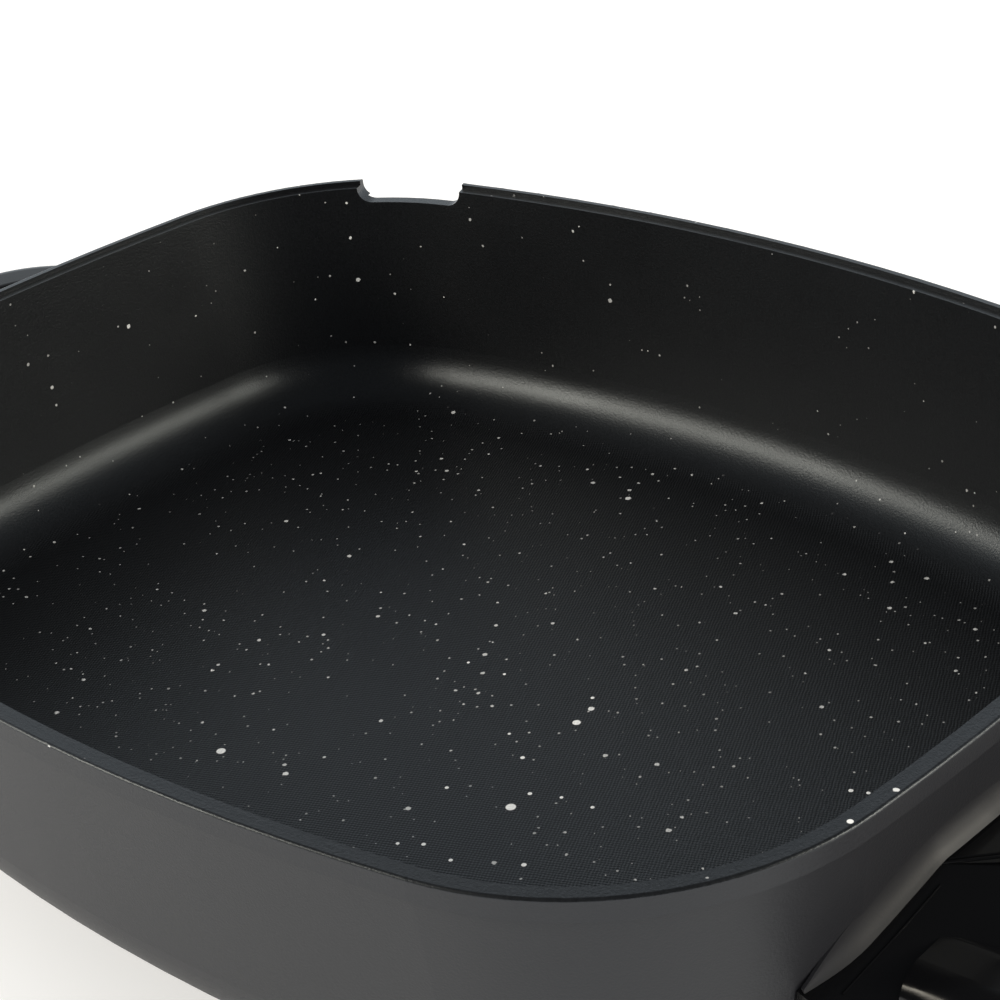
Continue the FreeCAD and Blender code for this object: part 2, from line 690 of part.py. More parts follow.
probe_start = well_start + s.well_blind_end + 1
probe_bar = rod("probe_bar", "X", (probe_start, ZERO, axis_height),
                s.probe_length, s.probe_radius)
probe_bore = rod("probe_bore", "X", (s.nose_start - 1, ZERO, axis_height),
                 socket_length + inside + 2, s.probe_radius + s.fit_gap)
shaft_bore = rod("shaft_bore", "X", (inner_x[1] - 1, ZERO, control_split),
                 inside + 2, s.shaft_radius + s.fit_gap)
bush_bore_cut = rod("bush_bore_cut", "Y", (s.bush_place, inner_y - 1, control_split),
                    inside + 2, s.bush_radius + s.fit_gap)
cover_top = control_split + s.control_shell
lens_bore = rod("lens_bore", "Z", (s.lens_place, ZERO, cover_top - inside - 1),
                inside + 2, s.lens_radius + s.fit_gap)
shell_cuts = fuse("shell_cuts", [probe_bore, shaft_bore, bush_bore_cut] + socket_bores
                  + case_bores)
base_form = fuse("base_form", [base_shell, nose] + base_posts)
keep("control_base", cut("base_finished", base_form, shell_cuts))
cover_form = fuse("cover_form", [cover_shell] + cover_posts)
cover_cuts = fuse("cover_cuts", [shell_cuts, lens_bore])
keep("control_cover", cut("cover_finished", cover_form, cover_cuts))

doc.recompute()
tip_edges = edges_where(probe_bar, lambda middle, bounds: bounds.XMax < probe_start.value + NEAR)
probe = doc.addObject("Part::Fillet", "probe_finished")
probe.Base = probe_bar
tip_round = s.probe_tip_round.value
probe.Edges = [(int(name[4:]), tip_round, tip_round) for name in tip_edges]
keep("probe_rod", probe)

blade = new_body("blade_strip")
blade_side = sketch_on(blade, "blade_profile", "XZ_Plane", -s.blade_half_width)
blade_low = axis_height + s.probe_radius + s.probe_gap
blade_level = axis_height + s.blade_rise
blade_top = blade_level + s.blade_thickness
blade_end = s.blade_start + s.blade_length
post_end = s.blade_start + s.blade_post
add_polygon(blade_side, [(s.blade_start, blade_low), (post_end, blade_low),
                         (post_end, blade_level), (blade_end, blade_level),
                         (blade_end, blade_top), (s.blade_start, blade_top)])
pad(blade, blade_side, s.blade_half_width * 2)
keep("thermostat_blade", blade)

bush_start = inner_y - s.bush_flange_thickness
collar_end = s.control_half_width + s.bush_collar
bush_spot = (s.bush_place, bush_start, control_split)
bush_tube = rod("bush_tube", "Y", bush_spot, collar_end - bush_start, s.bush_radius)
bush_outer = rod("bush_outer", "Y", (s.bush_place, s.control_half_width, control_split),
                 s.bush_flange_thickness, s.bush_flange)
bush_inner = rod("bush_inner", "Y", bush_spot, s.bush_flange_thickness, s.bush_flange)
bush_hole = rod("bush_hole", "Y", bush_spot, collar_end - bush_start, s.bush_bore)
bush_form = fuse("bush_form", [bush_tube, bush_outer, bush_inner])
keep("cord_bushing", cut("bush_finished", bush_form, bush_hole))

lens_bar = rod("lens_bar", "Z", (s.lens_place, ZERO, cover_top - inside),
               s.lens_height, s.lens_radius)
doc.recompute()
lens_top = (cover_top - inside + s.lens_height).value
lens = doc.addObject("Part::Fillet", "lens_finished")
lens.Base = lens_bar
lens_round = s.lens_round.value
lens.Edges = [(int(name[4:]), lens_round, lens_round)
              for name in edges_where(lens_bar, at_level(lens_top))]
keep("indicator_lens", lens)

# dial: a skirt and a fluted knob, turned as one with the shaft and its cam
dial = new_body("dial_knob")
skirt = sketch_on(dial, "dial_skirt_circle", "XY_Plane", ZERO)


def add_circle(sketch, x, radius):
    centre = FreeCAD.Vector(as_size(x).value, 0, 0)
    circle = Part.Circle(centre, FreeCAD.Vector(0, 0, 1), as_size(radius).value)
    index = sketch.addGeometry(circle, False)
    constrain(sketch, radius, "Radius", index)
    fix_point(sketch, index, 3, x, 0)


add_circle(skirt, 0, s.dial_radius)
pad(dial, skirt, s.dial_skirt)
knob_sketch = sketch_on(dial, "knob_circle", "XY_Plane", s.dial_skirt)
add_circle(knob_sketch, 0, s.knob_radius)
pad(dial, knob_sketch, s.knob_height, taper=-s.knob_taper)
flute_sketch = sketch_on(dial, "flute_circle", "XY_Plane", s.dial_skirt + s.knob_height)
add_circle(flute_sketch, s.knob_radius, s.flute_radius)
flute = pocket(dial, flute_sketch, s.knob_height)
flutes = dial.newObject("PartDesign::PolarPattern", "flutes")
flutes.Originals = [flute]
flutes.Axis = (origin_part(dial, "Z_Axis"), [""])
flutes.Angle = 360
bind(flutes, "Occurrences", s.flute_count)
dial.Tip = flutes
seat_sketch = sketch_on(dial, "shaft_seat_circle", "XY_Plane", ZERO)
add_circle(seat_sketch, 0, s.shaft_radius + s.fit_gap)
pocket(dial, seat_sketch, s.shaft_seat, backwards=True)
dial.Placement = FreeCAD.Placement(FreeCAD.Vector(), TURNS["X"])
place(dial, control_end + s.dial_gap, ZERO, control_split)
keep("control_dial", dial)

shaft_end = control_end + s.dial_gap + s.shaft_seat
shaft_bar = rod("shaft_bar", "X", (s.shaft_start, ZERO, control_split),
                shaft_end - s.shaft_start, s.shaft_radius)
cam = rod("cam_disc", "X", (s.cam_start, ZERO, control_split - s.cam_offset),
          s.cam_width, s.cam_radius)
keep("dial_shaft", fuse("shaft_and_cam", [shaft_bar, cam]))

doc.recompute()
for thing in doc.Objects:
    if "Invalid" in thing.State or "Error" in thing.State:
        raise RuntimeError(f"{thing.Name} is {thing.State}")
os.makedirs("parts", exist_ok=True)
for name, thing in parts.items():
    shape = thing.Shape
    if shape.isNull() or not shape.isValid() or not shape.Solids:
        raise RuntimeError(f"{name} has no valid solid")
    shape.exportStep(f"parts/{name}.step")
    bounds = shape.BoundBox
    print(f"{name}: {len(shape.Solids)} solid, {shape.Volume / 1000:.2f} cm3, "
          f"x {bounds.XMin:.1f} to {bounds.XMax:.1f}, y {bounds.YMin:.1f} to {bounds.YMax:.1f}, "
          f"z {bounds.ZMin:.1f} to {bounds.ZMax:.1f}")
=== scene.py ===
# %% [markdown]
# Electric skillet, dressed over its solids.
# The solids come in first, as a fixed frame. Everything made below is in metres and in the
# same frame: +X runs along the pan to the temperature control, +Y to the wall with the
# pouring notch, and the table is at z = 0.

# %% Load the frame
import json
import math

import bpy
from mathutils import Matrix, Vector


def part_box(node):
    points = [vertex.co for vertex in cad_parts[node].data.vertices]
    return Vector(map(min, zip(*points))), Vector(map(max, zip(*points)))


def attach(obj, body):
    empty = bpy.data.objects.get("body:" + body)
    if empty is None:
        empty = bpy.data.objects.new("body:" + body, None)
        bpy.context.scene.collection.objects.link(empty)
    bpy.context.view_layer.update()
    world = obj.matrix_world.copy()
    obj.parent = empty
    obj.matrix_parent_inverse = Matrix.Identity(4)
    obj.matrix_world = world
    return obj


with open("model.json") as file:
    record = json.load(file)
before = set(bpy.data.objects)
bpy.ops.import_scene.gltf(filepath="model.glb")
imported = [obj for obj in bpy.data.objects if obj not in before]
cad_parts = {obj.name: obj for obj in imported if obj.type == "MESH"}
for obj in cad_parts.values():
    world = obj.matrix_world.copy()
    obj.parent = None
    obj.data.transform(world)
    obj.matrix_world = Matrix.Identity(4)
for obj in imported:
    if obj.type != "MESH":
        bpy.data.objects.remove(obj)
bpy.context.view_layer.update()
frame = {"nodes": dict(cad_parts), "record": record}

# %% [markdown]
# The camera decides what a picture shows, so it comes before the looks. The place, the long
# lens and the slight roll were fitted to the rim and floor lines of the photographed pan.
# A camera looks along its own -Z axis, so its three columns are right, up and backwards.

# %% Camera
IMAGE_SIZE = 1000
SENSOR_WIDTH = 36.0
LENS_LENGTH = 78.71
CAMERA_PLACE = Vector((0.38292, -0.35122, 0.38229))
CAMERA_AZIMUTH = math.radians(45.76)
CAMERA_ELEVATION = math.radians(28.92)
CAMERA_ROLL = math.radians(-6.01)


def camera_axes():
    """The camera's right, up and forward directions."""
    forward = Vector((-math.sin(CAMERA_AZIMUTH) * math.cos(CAMERA_ELEVATION),
                      math.cos(CAMERA_AZIMUTH) * math.cos(CAMERA_ELEVATION),
                      -math.sin(CAMERA_ELEVATION)))
    level_right = forward.cross(Vector((0, 0, 1))).normalized()
    level_up = level_right.cross(forward)
    right = level_right * math.cos(CAMERA_ROLL) + level_up * math.sin(CAMERA_ROLL)
    up = level_up * math.cos(CAMERA_ROLL) - level_right * math.sin(CAMERA_ROLL)
    return right, up, forward


RIGHT, UP, FORWARD = camera_axes()
camera_data = bpy.data.cameras.new("photo_camera")
camera_data.lens = LENS_LENGTH
camera_data.sensor_width = SENSOR_WIDTH
camera = bpy.data.objects.new("photo_camera", camera_data)
bpy.context.scene.collection.objects.link(camera)
turn = Matrix((RIGHT, UP, -FORWARD)).transposed().to_4x4()
camera.matrix_world = Matrix.Translation(CAMERA_PLACE) @ turn
bpy.context.scene.camera = camera
print("camera looks along", [round(v, 3) for v in FORWARD])

# %% [markdown]
# Some flecks of the coating are large enough to be recognised one by one. A picture point is
# a line in space; where that line crosses the height of the pan floor is the fleck's place.

# %% From a picture point to a place on the pan
FOCAL_PIXELS = LENS_LENGTH / SENSOR_WIDTH * IMAGE_SIZE


def place_at_height(pixel, height):
    """Where the line of sight through a picture point crosses a level plane."""
    across = (pixel[0] - IMAGE_SIZE / 2) / FOCAL_PIXELS
    down = (pixel[1] - IMAGE_SIZE / 2) / FOCAL_PIXELS
    sight = FORWARD + RIGHT * across - UP * down
    return CAMERA_PLACE + sight * ((height - CAMERA_PLACE.z) / sight.z)


FLOOR_HEIGHT = 0.042
RIM_HEIGHT = 0.118
print("picture centre on the pan floor", place_at_height((500, 500), FLOOR_HEIGHT))

# %% [markdown]
# A material is a small network of nodes, and so is the light of the room. These helpers keep
# the cells below short. They add a node with its settings, start a material that already has
# its shader, do sums with a value, map it from one range to another, and mix two colours.

# %% Node helpers


def add_node(tree, kind, settings=None, **values):
    """A node of that kind, with its attributes and its input values."""
    node = tree.nodes.new("ShaderNode" + kind)
    for key, value in (settings or {}).items():
        setattr(node, key, value)
    for key, value in values.items():
        node.inputs[key.replace("_", " ")].default_value = value
    return node


def start_material(name, **shader_values):
    """A material, its node tree and its Principled shader."""
    material = bpy.data.materials.new(name)
    material.use_nodes = True
    tree = material.node_tree
    shader = tree.nodes["Principled BSDF"]
    for key, value in shader_values.items():
        shader.inputs[key.replace("_", " ")].default_value = value
    return material, tree, shader


def maths(tree, operation, first, second=None, third=None, clamp=False):
    """A maths node; each input is a socket or a number."""
    node = tree.nodes.new("ShaderNodeMath")
    node.operation = operation
    node.use_clamp = clamp
    for socket, value in zip(node.inputs, (first, second, third)):
        if isinstance(value, (int, float)):
            socket.default_value = value
        elif value is not None:
            tree.links.new(value, socket)
    return node.outputs[0]


def between(tree, value, low, high, out_low=0.0, out_high=1.0, smooth=True):
    """Maps a value from one range to another, held at both ends."""
    node = tree.nodes.new("ShaderNodeMapRange")
    node.interpolation_type = "SMOOTHSTEP" if smooth else "LINEAR"
    tree.links.new(value, node.inputs["Value"])
    for key, number in (("From Min", low), ("From Max", high),
                        ("To Min", out_low), ("To Max", out_high)):
        node.inputs[key].default_value = number
    return node.outputs["Result"]


def mixed_colour(tree, factor, first, second):
    """A colour that runs from the first to the second as factor goes from 0 to 1."""
    node = tree.nodes.new("ShaderNodeMix")
    node.data_type = "RGBA"
    sockets = [s for s in node.inputs if s.type == "RGBA"]
    for socket, value in zip(sockets, (first, second)):
        if isinstance(value, tuple):
            socket.default_value = value
        else:
            tree.links.new(value, socket)
    tree.links.new(factor, node.inputs["Factor"])
    return next(s for s in node.outputs if s.type == "RGBA")


def object_place(tree):
    """The point on the piece, in metres, in the piece's own frame."""
    return tree.nodes.new("ShaderNodeTexCoord").outputs["Object"]


# %% [markdown]
# A studio table is one pale sheet. It shines by itself a little, so the background reads white
# while the pan's shadow still falls on it. Far from the pan it shines fully, so no horizon
# shows. The camera sees some of that glow near the pan too, but the pan's paint hardly
# mirrors it. From below the sheet is clear, because an appliance's underside is looked at.

# %% Table
WHITE = (1.0, 1.0, 1.0, 1.0)
PAPER_GREY = (0.82, 0.82, 0.82, 1.0)
TABLE_SIZE = 14.0
NEAR_EDGE = 0.35
FAR_EDGE = 1.1
MIRRORED_GLOW = 0.05
CAMERA_GLOW = 0.35
bpy.context.scene.view_settings.view_transform = "Standard"


def deselect_all():
    """Nothing selected, before a primitive is added."""
    for thing in bpy.context.selected_objects:
        thing.select_set(False)


deselect_all()
bpy.ops.mesh.primitive_plane_add(size=TABLE_SIZE, location=(0, 0, 0))
table = bpy.context.object
table.name = "studio_table"

table_paint = bpy.data.materials.new("table_paint")
table_paint.use_nodes = True
tree = table_paint.node_tree
tree.nodes.clear()
output = add_node(tree, "OutputMaterial")
total = add_node(tree, "AddShader")
paper = add_node(tree, "BsdfDiffuse", Color=PAPER_GREY)
glow = add_node(tree, "Emission")
path = add_node(tree, "LightPath")
from_pan = add_node(tree, "VectorMath", {"operation": "LENGTH"})
tree.links.new(object_place(tree), from_pan.inputs[0])
far_glow = between(tree, from_pan.outputs["Value"], NEAR_EDGE, FAR_EDGE,
                   MIRRORED_GLOW, 1.0, smooth=False)
to_camera = maths(tree, "MULTIPLY", maths(tree, "MAXIMUM", far_glow, CAMERA_GLOW),
                  path.outputs["Is Camera Ray"])
to_mirror = maths(tree, "MULTIPLY", far_glow, path.outputs["Is Glossy Ray"])
tree.links.new(maths(tree, "MAXIMUM", to_camera, to_mirror), glow.inputs["Strength"])
tree.links.new(paper.outputs[0], total.inputs[0])
tree.links.new(glow.outputs[0], total.inputs[1])
clear = add_node(tree, "BsdfTransparent")
side = add_node(tree, "NewGeometry")
either = add_node(tree, "MixShader")
tree.links.new(side.outputs["Backfacing"], either.inputs["Fac"])
tree.links.new(total.outputs[0], either.inputs[1])
tree.links.new(clear.outputs[0], either.inputs[2])
tree.links.new(either.outputs[0], output.inputs["Surface"])
table.data.materials.append(table_paint)
print("table", TABLE_SIZE, "m wide")

# %% [markdown]
# The room round the table is white to the camera and through glass. In reflections only the
# backdrop behind the pan is white, up to half height: the ceiling and the side where the
# photographer stands are dim, which leaves the pan's far corner dark between its highlights.

# %% Room
WORLD_LIGHT = 0.75
DIM_ROOM = 0.08
COOL_WHITE = (0.86, 0.94, 1.0, 1.0)
BACKDROP_WAY = Vector((-0.716, 0.698, 0.0))
BACKDROP_TOP = (0.42, 0.80)
BACKDROP_SIDE = (-0.25, 0.35)
world = bpy.data.worlds.new("studio_world")
bpy.context.scene.world = world
world.use_nodes = True
tree = world.node_tree
tree.nodes.clear()
output = add_node(tree, "OutputWorld")
sky = add_node(tree, "Background")
path = add_node(tree, "LightPath")
way = add_node(tree, "TexCoord").outputs["Generated"]
level = add_node(tree, "SeparateXYZ")
tree.links.new(way, level.inputs[0])
towards = add_node(tree, "VectorMath", {"operation": "DOT_PRODUCT"})
towards.inputs[1].default_value = BACKDROP_WAY
tree.links.new(way, towards.inputs[0])
backdrop = maths(tree, "MULTIPLY", between(tree, level.outputs["Z"], *BACKDROP_TOP, 1.0, 0.0),
                 between(tree, towards.outputs["Value"], *BACKDROP_SIDE))
mirrored = maths(tree, "MULTIPLY_ADD", backdrop, 1.0 - DIM_ROOM, DIM_ROOM)
plainly_seen = maths(tree, "MAXIMUM", path.outputs["Is Camera Ray"],
                     path.outputs["Is Transmission Ray"])
in_gloss = maths(tree, "MULTIPLY", path.outputs["Is Glossy Ray"], mirrored)
neither = maths(tree, "SUBTRACT", 1.0,
                maths(tree, "MAXIMUM", plainly_seen, path.outputs["Is Glossy Ray"]))
seen_light = maths(tree, "MAXIMUM", plainly_seen, in_gloss)
tree.links.new(maths(tree, "MULTIPLY_ADD", neither, WORLD_LIGHT, seen_light),
               sky.inputs["Strength"])
tree.links.new(mixed_colour(tree, path.outputs["Is Glossy Ray"], WHITE, COOL_WHITE),
               sky.inputs["Color"])
tree.links.new(sky.outputs[0], output.inputs["Surface"])
print("world light", WORLD_LIGHT, "dim room", DIM_ROOM)

# %% [markdown]
# The bright ridge that runs round the pan's inner corner is two soft boxes mirrored in the
# curved coating: one to the camera's left, one to its right, with a dark gap between them.
# A mirror sends the line of sight out at the same angle on the other side of the surface's
# normal, so each box stands low, where the upper half of the curve mirrors it.

# %% Soft boxes
PAN_MIDDLE = Vector((0.0, 0.0, 0.06))
LAMP_DISTANCE = 1.5
LAMP_HEIGHT = 0.42


def soft_box(name, direction, width, power, colour):
    """A rectangular area lamp that faces the pan from a direction."""
    lamp = bpy.data.lights.new(name, "AREA")
    lamp.shape = "RECTANGLE"
    lamp.size = width
    lamp.size_y = LAMP_HEIGHT
    lamp.energy = power
    lamp.color = colour
    box = bpy.data.objects.new(name, lamp)
    bpy.context.scene.collection.objects.link(box)
    away = Vector(direction).normalized()
    box.location = PAN_MIDDLE + away * LAMP_DISTANCE
    box.rotation_euler = away.to_track_quat("Z", "Y").to_euler()


soft_box("left_soft_box", (-0.511, -0.715, 0.475), width=0.5, power=11.4,
         colour=(1.0, 0.93, 0.79))
soft_box("right_soft_box", (0.862, 0.390, 0.325), width=0.6, power=11.6,
         colour=(1.0, 0.94, 0.80))

# %% [markdown]
# Several finishes need the same fine effects, so each is built once as a node group. Cast and
# moulded surfaces have a fine grain; handled surfaces have faint smudges that change the
# gloss; and turned or drawn metal has lines that run one way.

# %% Shared effects


def start_group(name, inputs, outputs):
    """A shader node group with number inputs (name, value) and named outputs."""
    group = bpy.data.node_groups.new(name, "ShaderNodeTree")
    for label, value in inputs:
        socket = group.interface.new_socket(label, in_out="INPUT", socket_type="NodeSocketFloat")
        socket.default_value = value
    for label in outputs:
        group.interface.new_socket(label, in_out="OUTPUT", socket_type="NodeSocketFloat")
    return group, group.nodes.new("NodeGroupInput"), group.nodes.new("NodeGroupOutput")


def use_group(tree, group, **values):
    """The group placed in a material with its own values."""
    node = tree.nodes.new("ShaderNodeGroup")
    node.node_tree = group
    for key, value in values.items():
        node.inputs[key.replace("_", " ")].default_value = value
    return node


grain_group, given, result = start_group("fine_grain", [("Scale", 900.0)], ["Height", "Patches"])
fine = add_node(grain_group, "TexNoise", Detail=4.0, Roughness=0.62)
broad = add_node(grain_group, "TexNoise", Scale=14.0, Detail=3.0)
place = object_place(grain_group)
for texture in (fine, broad):
    grain_group.links.new(place, texture.inputs["Vector"])
grain_group.links.new(given.outputs["Scale"], fine.inputs["Scale"])
grain_group.links.new(fine.outputs["Fac"], result.inputs["Height"])
grain_group.links.new(between(grain_group, broad.outputs["Fac"], 0.35, 0.65),
                      result.inputs["Patches"])

smudge_group, given, result = start_group("handling_smudges", [("Scale", 30.0)], ["Amount"])
smear = add_node(smudge_group, "TexNoise", Detail=5.0, Roughness=0.55, Distortion=1.4)
smudge_group.links.new(object_place(smudge_group), smear.inputs["Vector"])
smudge_group.links.new(given.outputs["Scale"], smear.inputs["Scale"])
smudge_group.links.new(between(smudge_group, smear.outputs["Fac"], 0.48, 0.72),
                       result.inputs["Amount"])

line_group, given, result = start_group("drawn_lines", [("Scale", 260.0), ("Stretch", 0.03)],
                                        ["Height"])
squeezed = add_node(line_group, "Mapping")
along = line_group.nodes.new("ShaderNodeCombineXYZ")
along.inputs["Y"].default_value = 1.0
along.inputs["Z"].default_value = 1.0
line_group.links.new(given.outputs["Stretch"], along.inputs["X"])
line_group.links.new(along.outputs[0], squeezed.inputs["Scale"])
line_group.links.new(object_place(line_group), squeezed.inputs["Vector"])
streaks = add_node(line_group, "TexNoise", Detail=3.0)
line_group.links.new(given.outputs["Scale"], streaks.inputs["Scale"])
line_group.links.new(squeezed.outputs[0], streaks.inputs["Vector"])
line_group.links.new(streaks.outputs["Fac"], result.inputs["Height"])
print("shared effects", [g.name for g in bpy.data.node_groups])


def bump(tree, shader, height, distance, strength=1.0, under=None):
    """Height turned into a normal for the shader, on top of another bump if given."""
    node = add_node(tree, "Bump", Strength=strength, Distance=distance)
    tree.links.new(height, node.inputs["Height"])
    if under is not None:
        tree.links.new(under, node.inputs["Normal"])
    tree.links.new(node.outputs["Normal"], shader.inputs["Normal"])
    return node.outputs["Normal"]


# %% [markdown]
# The pan is one casting with two finishes. Inside is a non-stick coating full of pale flecks;
# outside is plain satin paint. The border between them is the outer edge of the rim, so the
# material tells them apart by the surface's direction: inside walls lean to the middle, and
# the floor and rim look up.

# %% Pan material: which side is which
LEANING_IN = -0.0005
LOOKING_UP = 0.35
COATING_START = 0.0405
DIMPLES_END = FLOOR_HEIGHT + 0.0020
DIMPLES_FULL = FLOOR_HEIGHT + 0.0005
coating, tree, shader = start_material("speckled_coating", Specular_IOR_Level=0.52,
                                       Specular_Tint=(0.86, 0.93, 1.0, 1.0))
place = object_place(tree)
facing = tree.nodes.new("ShaderNodeTexCoord").outputs["Normal"]
split_place = tree.nodes.new("ShaderNodeSeparateXYZ")
split_facing = tree.nodes.new("ShaderNodeSeparateXYZ")
tree.links.new(place, split_place.inputs[0])
tree.links.new(facing, split_facing.inputs[0])
px, py, pz = split_place.outputs
nx, ny, nz = split_facing.outputs
outward = maths(tree, "ADD", maths(tree, "MULTIPLY", px, nx), maths(tree, "MULTIPLY", py, ny))
leans_in = maths(tree, "LESS_THAN", outward, LEANING_IN)
looks_up = maths(tree, "GREATER_THAN", nz, LOOKING_UP)
above_floor = maths(tree, "GREATER_THAN", pz, COATING_START)
inside_shape = maths(tree, "MAXIMUM", leans_in, looks_up)
inside = maths(tree, "MULTIPLY", inside_shape, above_floor)
on_floor = between(tree, pz, DIMPLES_END, DIMPLES_FULL)
print("coating starts at", COATING_START)

# %% [markdown]
# The flecks are sprayed droplets of pale coating, in many sizes. They come from cells: each
# cell of a Voronoi pattern has one point in space, and the coating shows a fleck where it
# passes close to that point. The cell's random colour is a lot that is drawn for the fleck's
# size, for its tone, and for whether it is there at all. A power of the lot makes most of the
# flecks small. The walls carry fewer than the floor.

# %% Pan material: flecks of three sizes
MOSTLY_SMALL = 2.2
SOFT_EDGE = 0.72
FAINTEST = 0.45
SMALL_TONE = 0.55
WALL_SHARE = 0.35
WALL_SHARE_SMALL = 0.25


def flecks(scale, smallest, largest, spread, chance):
    """Fleck mask from the points of a cell pattern, each with its own size."""
    cells = add_node(tree, "TexVoronoi", Scale=scale)
    wander = add_node(tree, "TexNoise", Scale=1500.0, Detail=2.0)
    ragged = add_node(tree, "MixRGB", {"blend_type": "LINEAR_LIGHT"}, Fac=spread)
    tree.links.new(place, wander.inputs["Vector"])
    tree.links.new(place, ragged.inputs["Color1"])
    tree.links.new(wander.outputs["Color"], ragged.inputs["Color2"])
    tree.links.new(ragged.outputs[0], cells.inputs["Vector"])
    lot = tree.nodes.new("ShaderNodeSeparateColor")
    tree.links.new(cells.outputs["Color"], lot.inputs[0])
    size = between(tree, maths(tree, "POWER", lot.outputs[0], MOSTLY_SMALL), 0.0, 1.0,
                   smallest * scale, largest * scale, smooth=False)
    near = maths(tree, "DIVIDE", cells.outputs["Distance"], size)
    spot = between(tree, near, 1.0, SOFT_EDGE)
    drawn = maths(tree, "LESS_THAN", lot.outputs[1], chance)
    tone = between(tree, lot.outputs[2], 0.0, 1.0, FAINTEST, 1.0, smooth=False)
    return maths(tree, "MULTIPLY", maths(tree, "MULTIPLY", spot, drawn), tone), lot.outputs[1]


small, small_lot = flecks(300.0, smallest=0.00022, largest=0.0005, spread=0.0002, chance=1.0)
middling, middling_lot = flecks(150.0, smallest=0.0003, largest=0.0009, spread=0.0003,
                                chance=1.0)
large, _ = flecks(42.0, smallest=0.0006, largest=0.0014, spread=0.0004, chance=0.35)
sparse_wall = maths(tree, "MAXIMUM", on_floor,
                    maths(tree, "LESS_THAN", middling_lot, WALL_SHARE))
sparse_small = maths(tree, "MAXIMUM", on_floor,
                     maths(tree, "LESS_THAN", small_lot, WALL_SHARE_SMALL))
small = maths(tree, "MULTIPLY", maths(tree, "MULTIPLY", small, SMALL_TONE), sparse_small)
middling = maths(tree, "MULTIPLY", middling, sparse_wall)
scattered = maths(tree, "MAXIMUM", maths(tree, "MAXIMUM", small, middling), large)
print("nodes in the coating so far", len(tree.nodes))

# %% [markdown]
# The flecks that stand out in the photograph get their own places. Each is a round spot on the
# floor or the rim: the coating is pale where it lies nearer to the spot's middle than its
# radius. A pair holds the spot's picture point and its radius in millimetres.

# %% Pan material: the flecks that stand out
FLOOR_FLECKS = [((576.6, 722.5), 1.25), ((510.8, 807.0), 1.5), ((221.0, 751.0), 1.4),
                ((522.6, 757.6), 0.7), ((529.9, 793.6), 0.65), ((592.5, 697.8), 0.6),
                ((504.4, 674.1), 0.5), ((468.3, 662.5), 0.5), ((509.3, 733.7), 0.5),
                ((561.5, 797.4), 0.55), ((592.5, 807.3), 0.6), ((446.8, 787.6), 0.6),
                ((523.9, 864.8), 0.75), ((423.6, 844.2), 0.65), ((397.6, 843.4), 0.55),
                ((450.7, 860.1), 0.6), ((850.9, 790.5), 0.7), ((868.4, 792.9), 0.6)]
RIM_FLECKS = [((476.7, 881.2), 0.75), ((607.0, 887.8), 0.75), ((850.2, 821.4), 0.75)]


def placed_fleck(pixel, radius_mm, height):
    """Mask of one fleck whose picture point is known."""
    away = add_node(tree, "VectorMath", {"operation": "DISTANCE"})
    tree.links.new(place, away.inputs[0])
    away.inputs[1].default_value = place_at_height(pixel, height)
    return between(tree, away.outputs["Value"], radius_mm * 0.001, radius_mm * 0.0008)


fleck_mask = scattered
for height, group in ((FLOOR_HEIGHT, FLOOR_FLECKS), (RIM_HEIGHT, RIM_FLECKS)):
    for pixel, radius in group:
        fleck_mask = maths(tree, "MAXIMUM", fleck_mask, placed_fleck(pixel, radius, height))
fleck_mask = maths(tree, "MULTIPLY", fleck_mask, inside)

# %% [markdown]
# The cooking floor carries a fine pattern of dimples that keeps food from lying flat. Two
# waves that cross at right angles give the grid, and noise keeps it from being too even.

# %% Pan material: floor dimples, grain, painted pit shade and colours
DIMPLE_PITCH = 0.00125
DIMPLE_TURN = math.radians(20)
DIMPLE_WANDER = 0.00035
COATING_RELIEF = 0.00022
FLECK_RELIEF = 0.00006
turned = add_node(tree, "Mapping", Rotation=(0, 0, DIMPLE_TURN))
wobble = add_node(tree, "TexNoise", Scale=420.0)
uneven = add_node(tree, "MixRGB", {"blend_type": "LINEAR_LIGHT"}, Fac=DIMPLE_WANDER)
tree.links.new(place, wobble.inputs["Vector"])
tree.links.new(place, uneven.inputs["Color1"])
tree.links.new(wobble.outputs["Color"], uneven.inputs["Color2"])
tree.links.new(uneven.outputs[0], turned.inputs["Vector"])
split_turned = tree.nodes.new("ShaderNodeSeparateXYZ")
tree.links.new(turned.outputs[0], split_turned.inputs[0])
waves = [maths(tree, "SINE", maths(tree, "MULTIPLY", split_turned.outputs[i],
                                   2 * math.pi / DIMPLE_PITCH)) for i in (0, 1)]
dimples = maths(tree, "MULTIPLY", maths(tree, "MULTIPLY", waves[0], waves[1]), on_floor)
grain = use_group(tree, grain_group, Scale=1600.0)
rough_grain = maths(tree, "MULTIPLY_ADD", grain.outputs["Height"], 1.2, dimples)
under = bump(tree, shader, rough_grain, COATING_RELIEF, strength=0.34)
bump(tree, shader, fleck_mask, FLECK_RELIEF, strength=0.6, under=under)

GRAIN_DARK_AND_PIT_SHADE = (0.0025, 0.0026, 0.0030, 1)
GRAIN_PALE_AND_LIT_TOP = (0.0120, 0.0125, 0.0140, 1)
FLECK_WHITE = (0.90, 0.90, 0.88, 1)
PAINT_DARK = (0.019, 0.019, 0.022, 1)
PAINT_PALE = (0.024, 0.024, 0.027, 1)
PAINT_ROUGHNESS = 0.40
COATING_ROUGHNESS = 0.30
PATCH_ROUGHNESS = 0.05
# Painted shade: on the floor the coating's colour is darker in the dimples' pits and paler on
# their tops. Everywhere the grain adds a random tone.
tone = maths(tree, "MULTIPLY_ADD", grain.outputs["Height"], 0.5,
             maths(tree, "MULTIPLY", dimples, 0.20))
dark = mixed_colour(tree, between(tree, tone, 0.05, 0.45), GRAIN_DARK_AND_PIT_SHADE, GRAIN_PALE_AND_LIT_TOP)
coated = mixed_colour(tree, fleck_mask, dark, FLECK_WHITE)
paint = mixed_colour(tree, grain.outputs["Patches"], PAINT_DARK, PAINT_PALE)
tree.links.new(mixed_colour(tree, inside, paint, coated), shader.inputs["Base Color"])
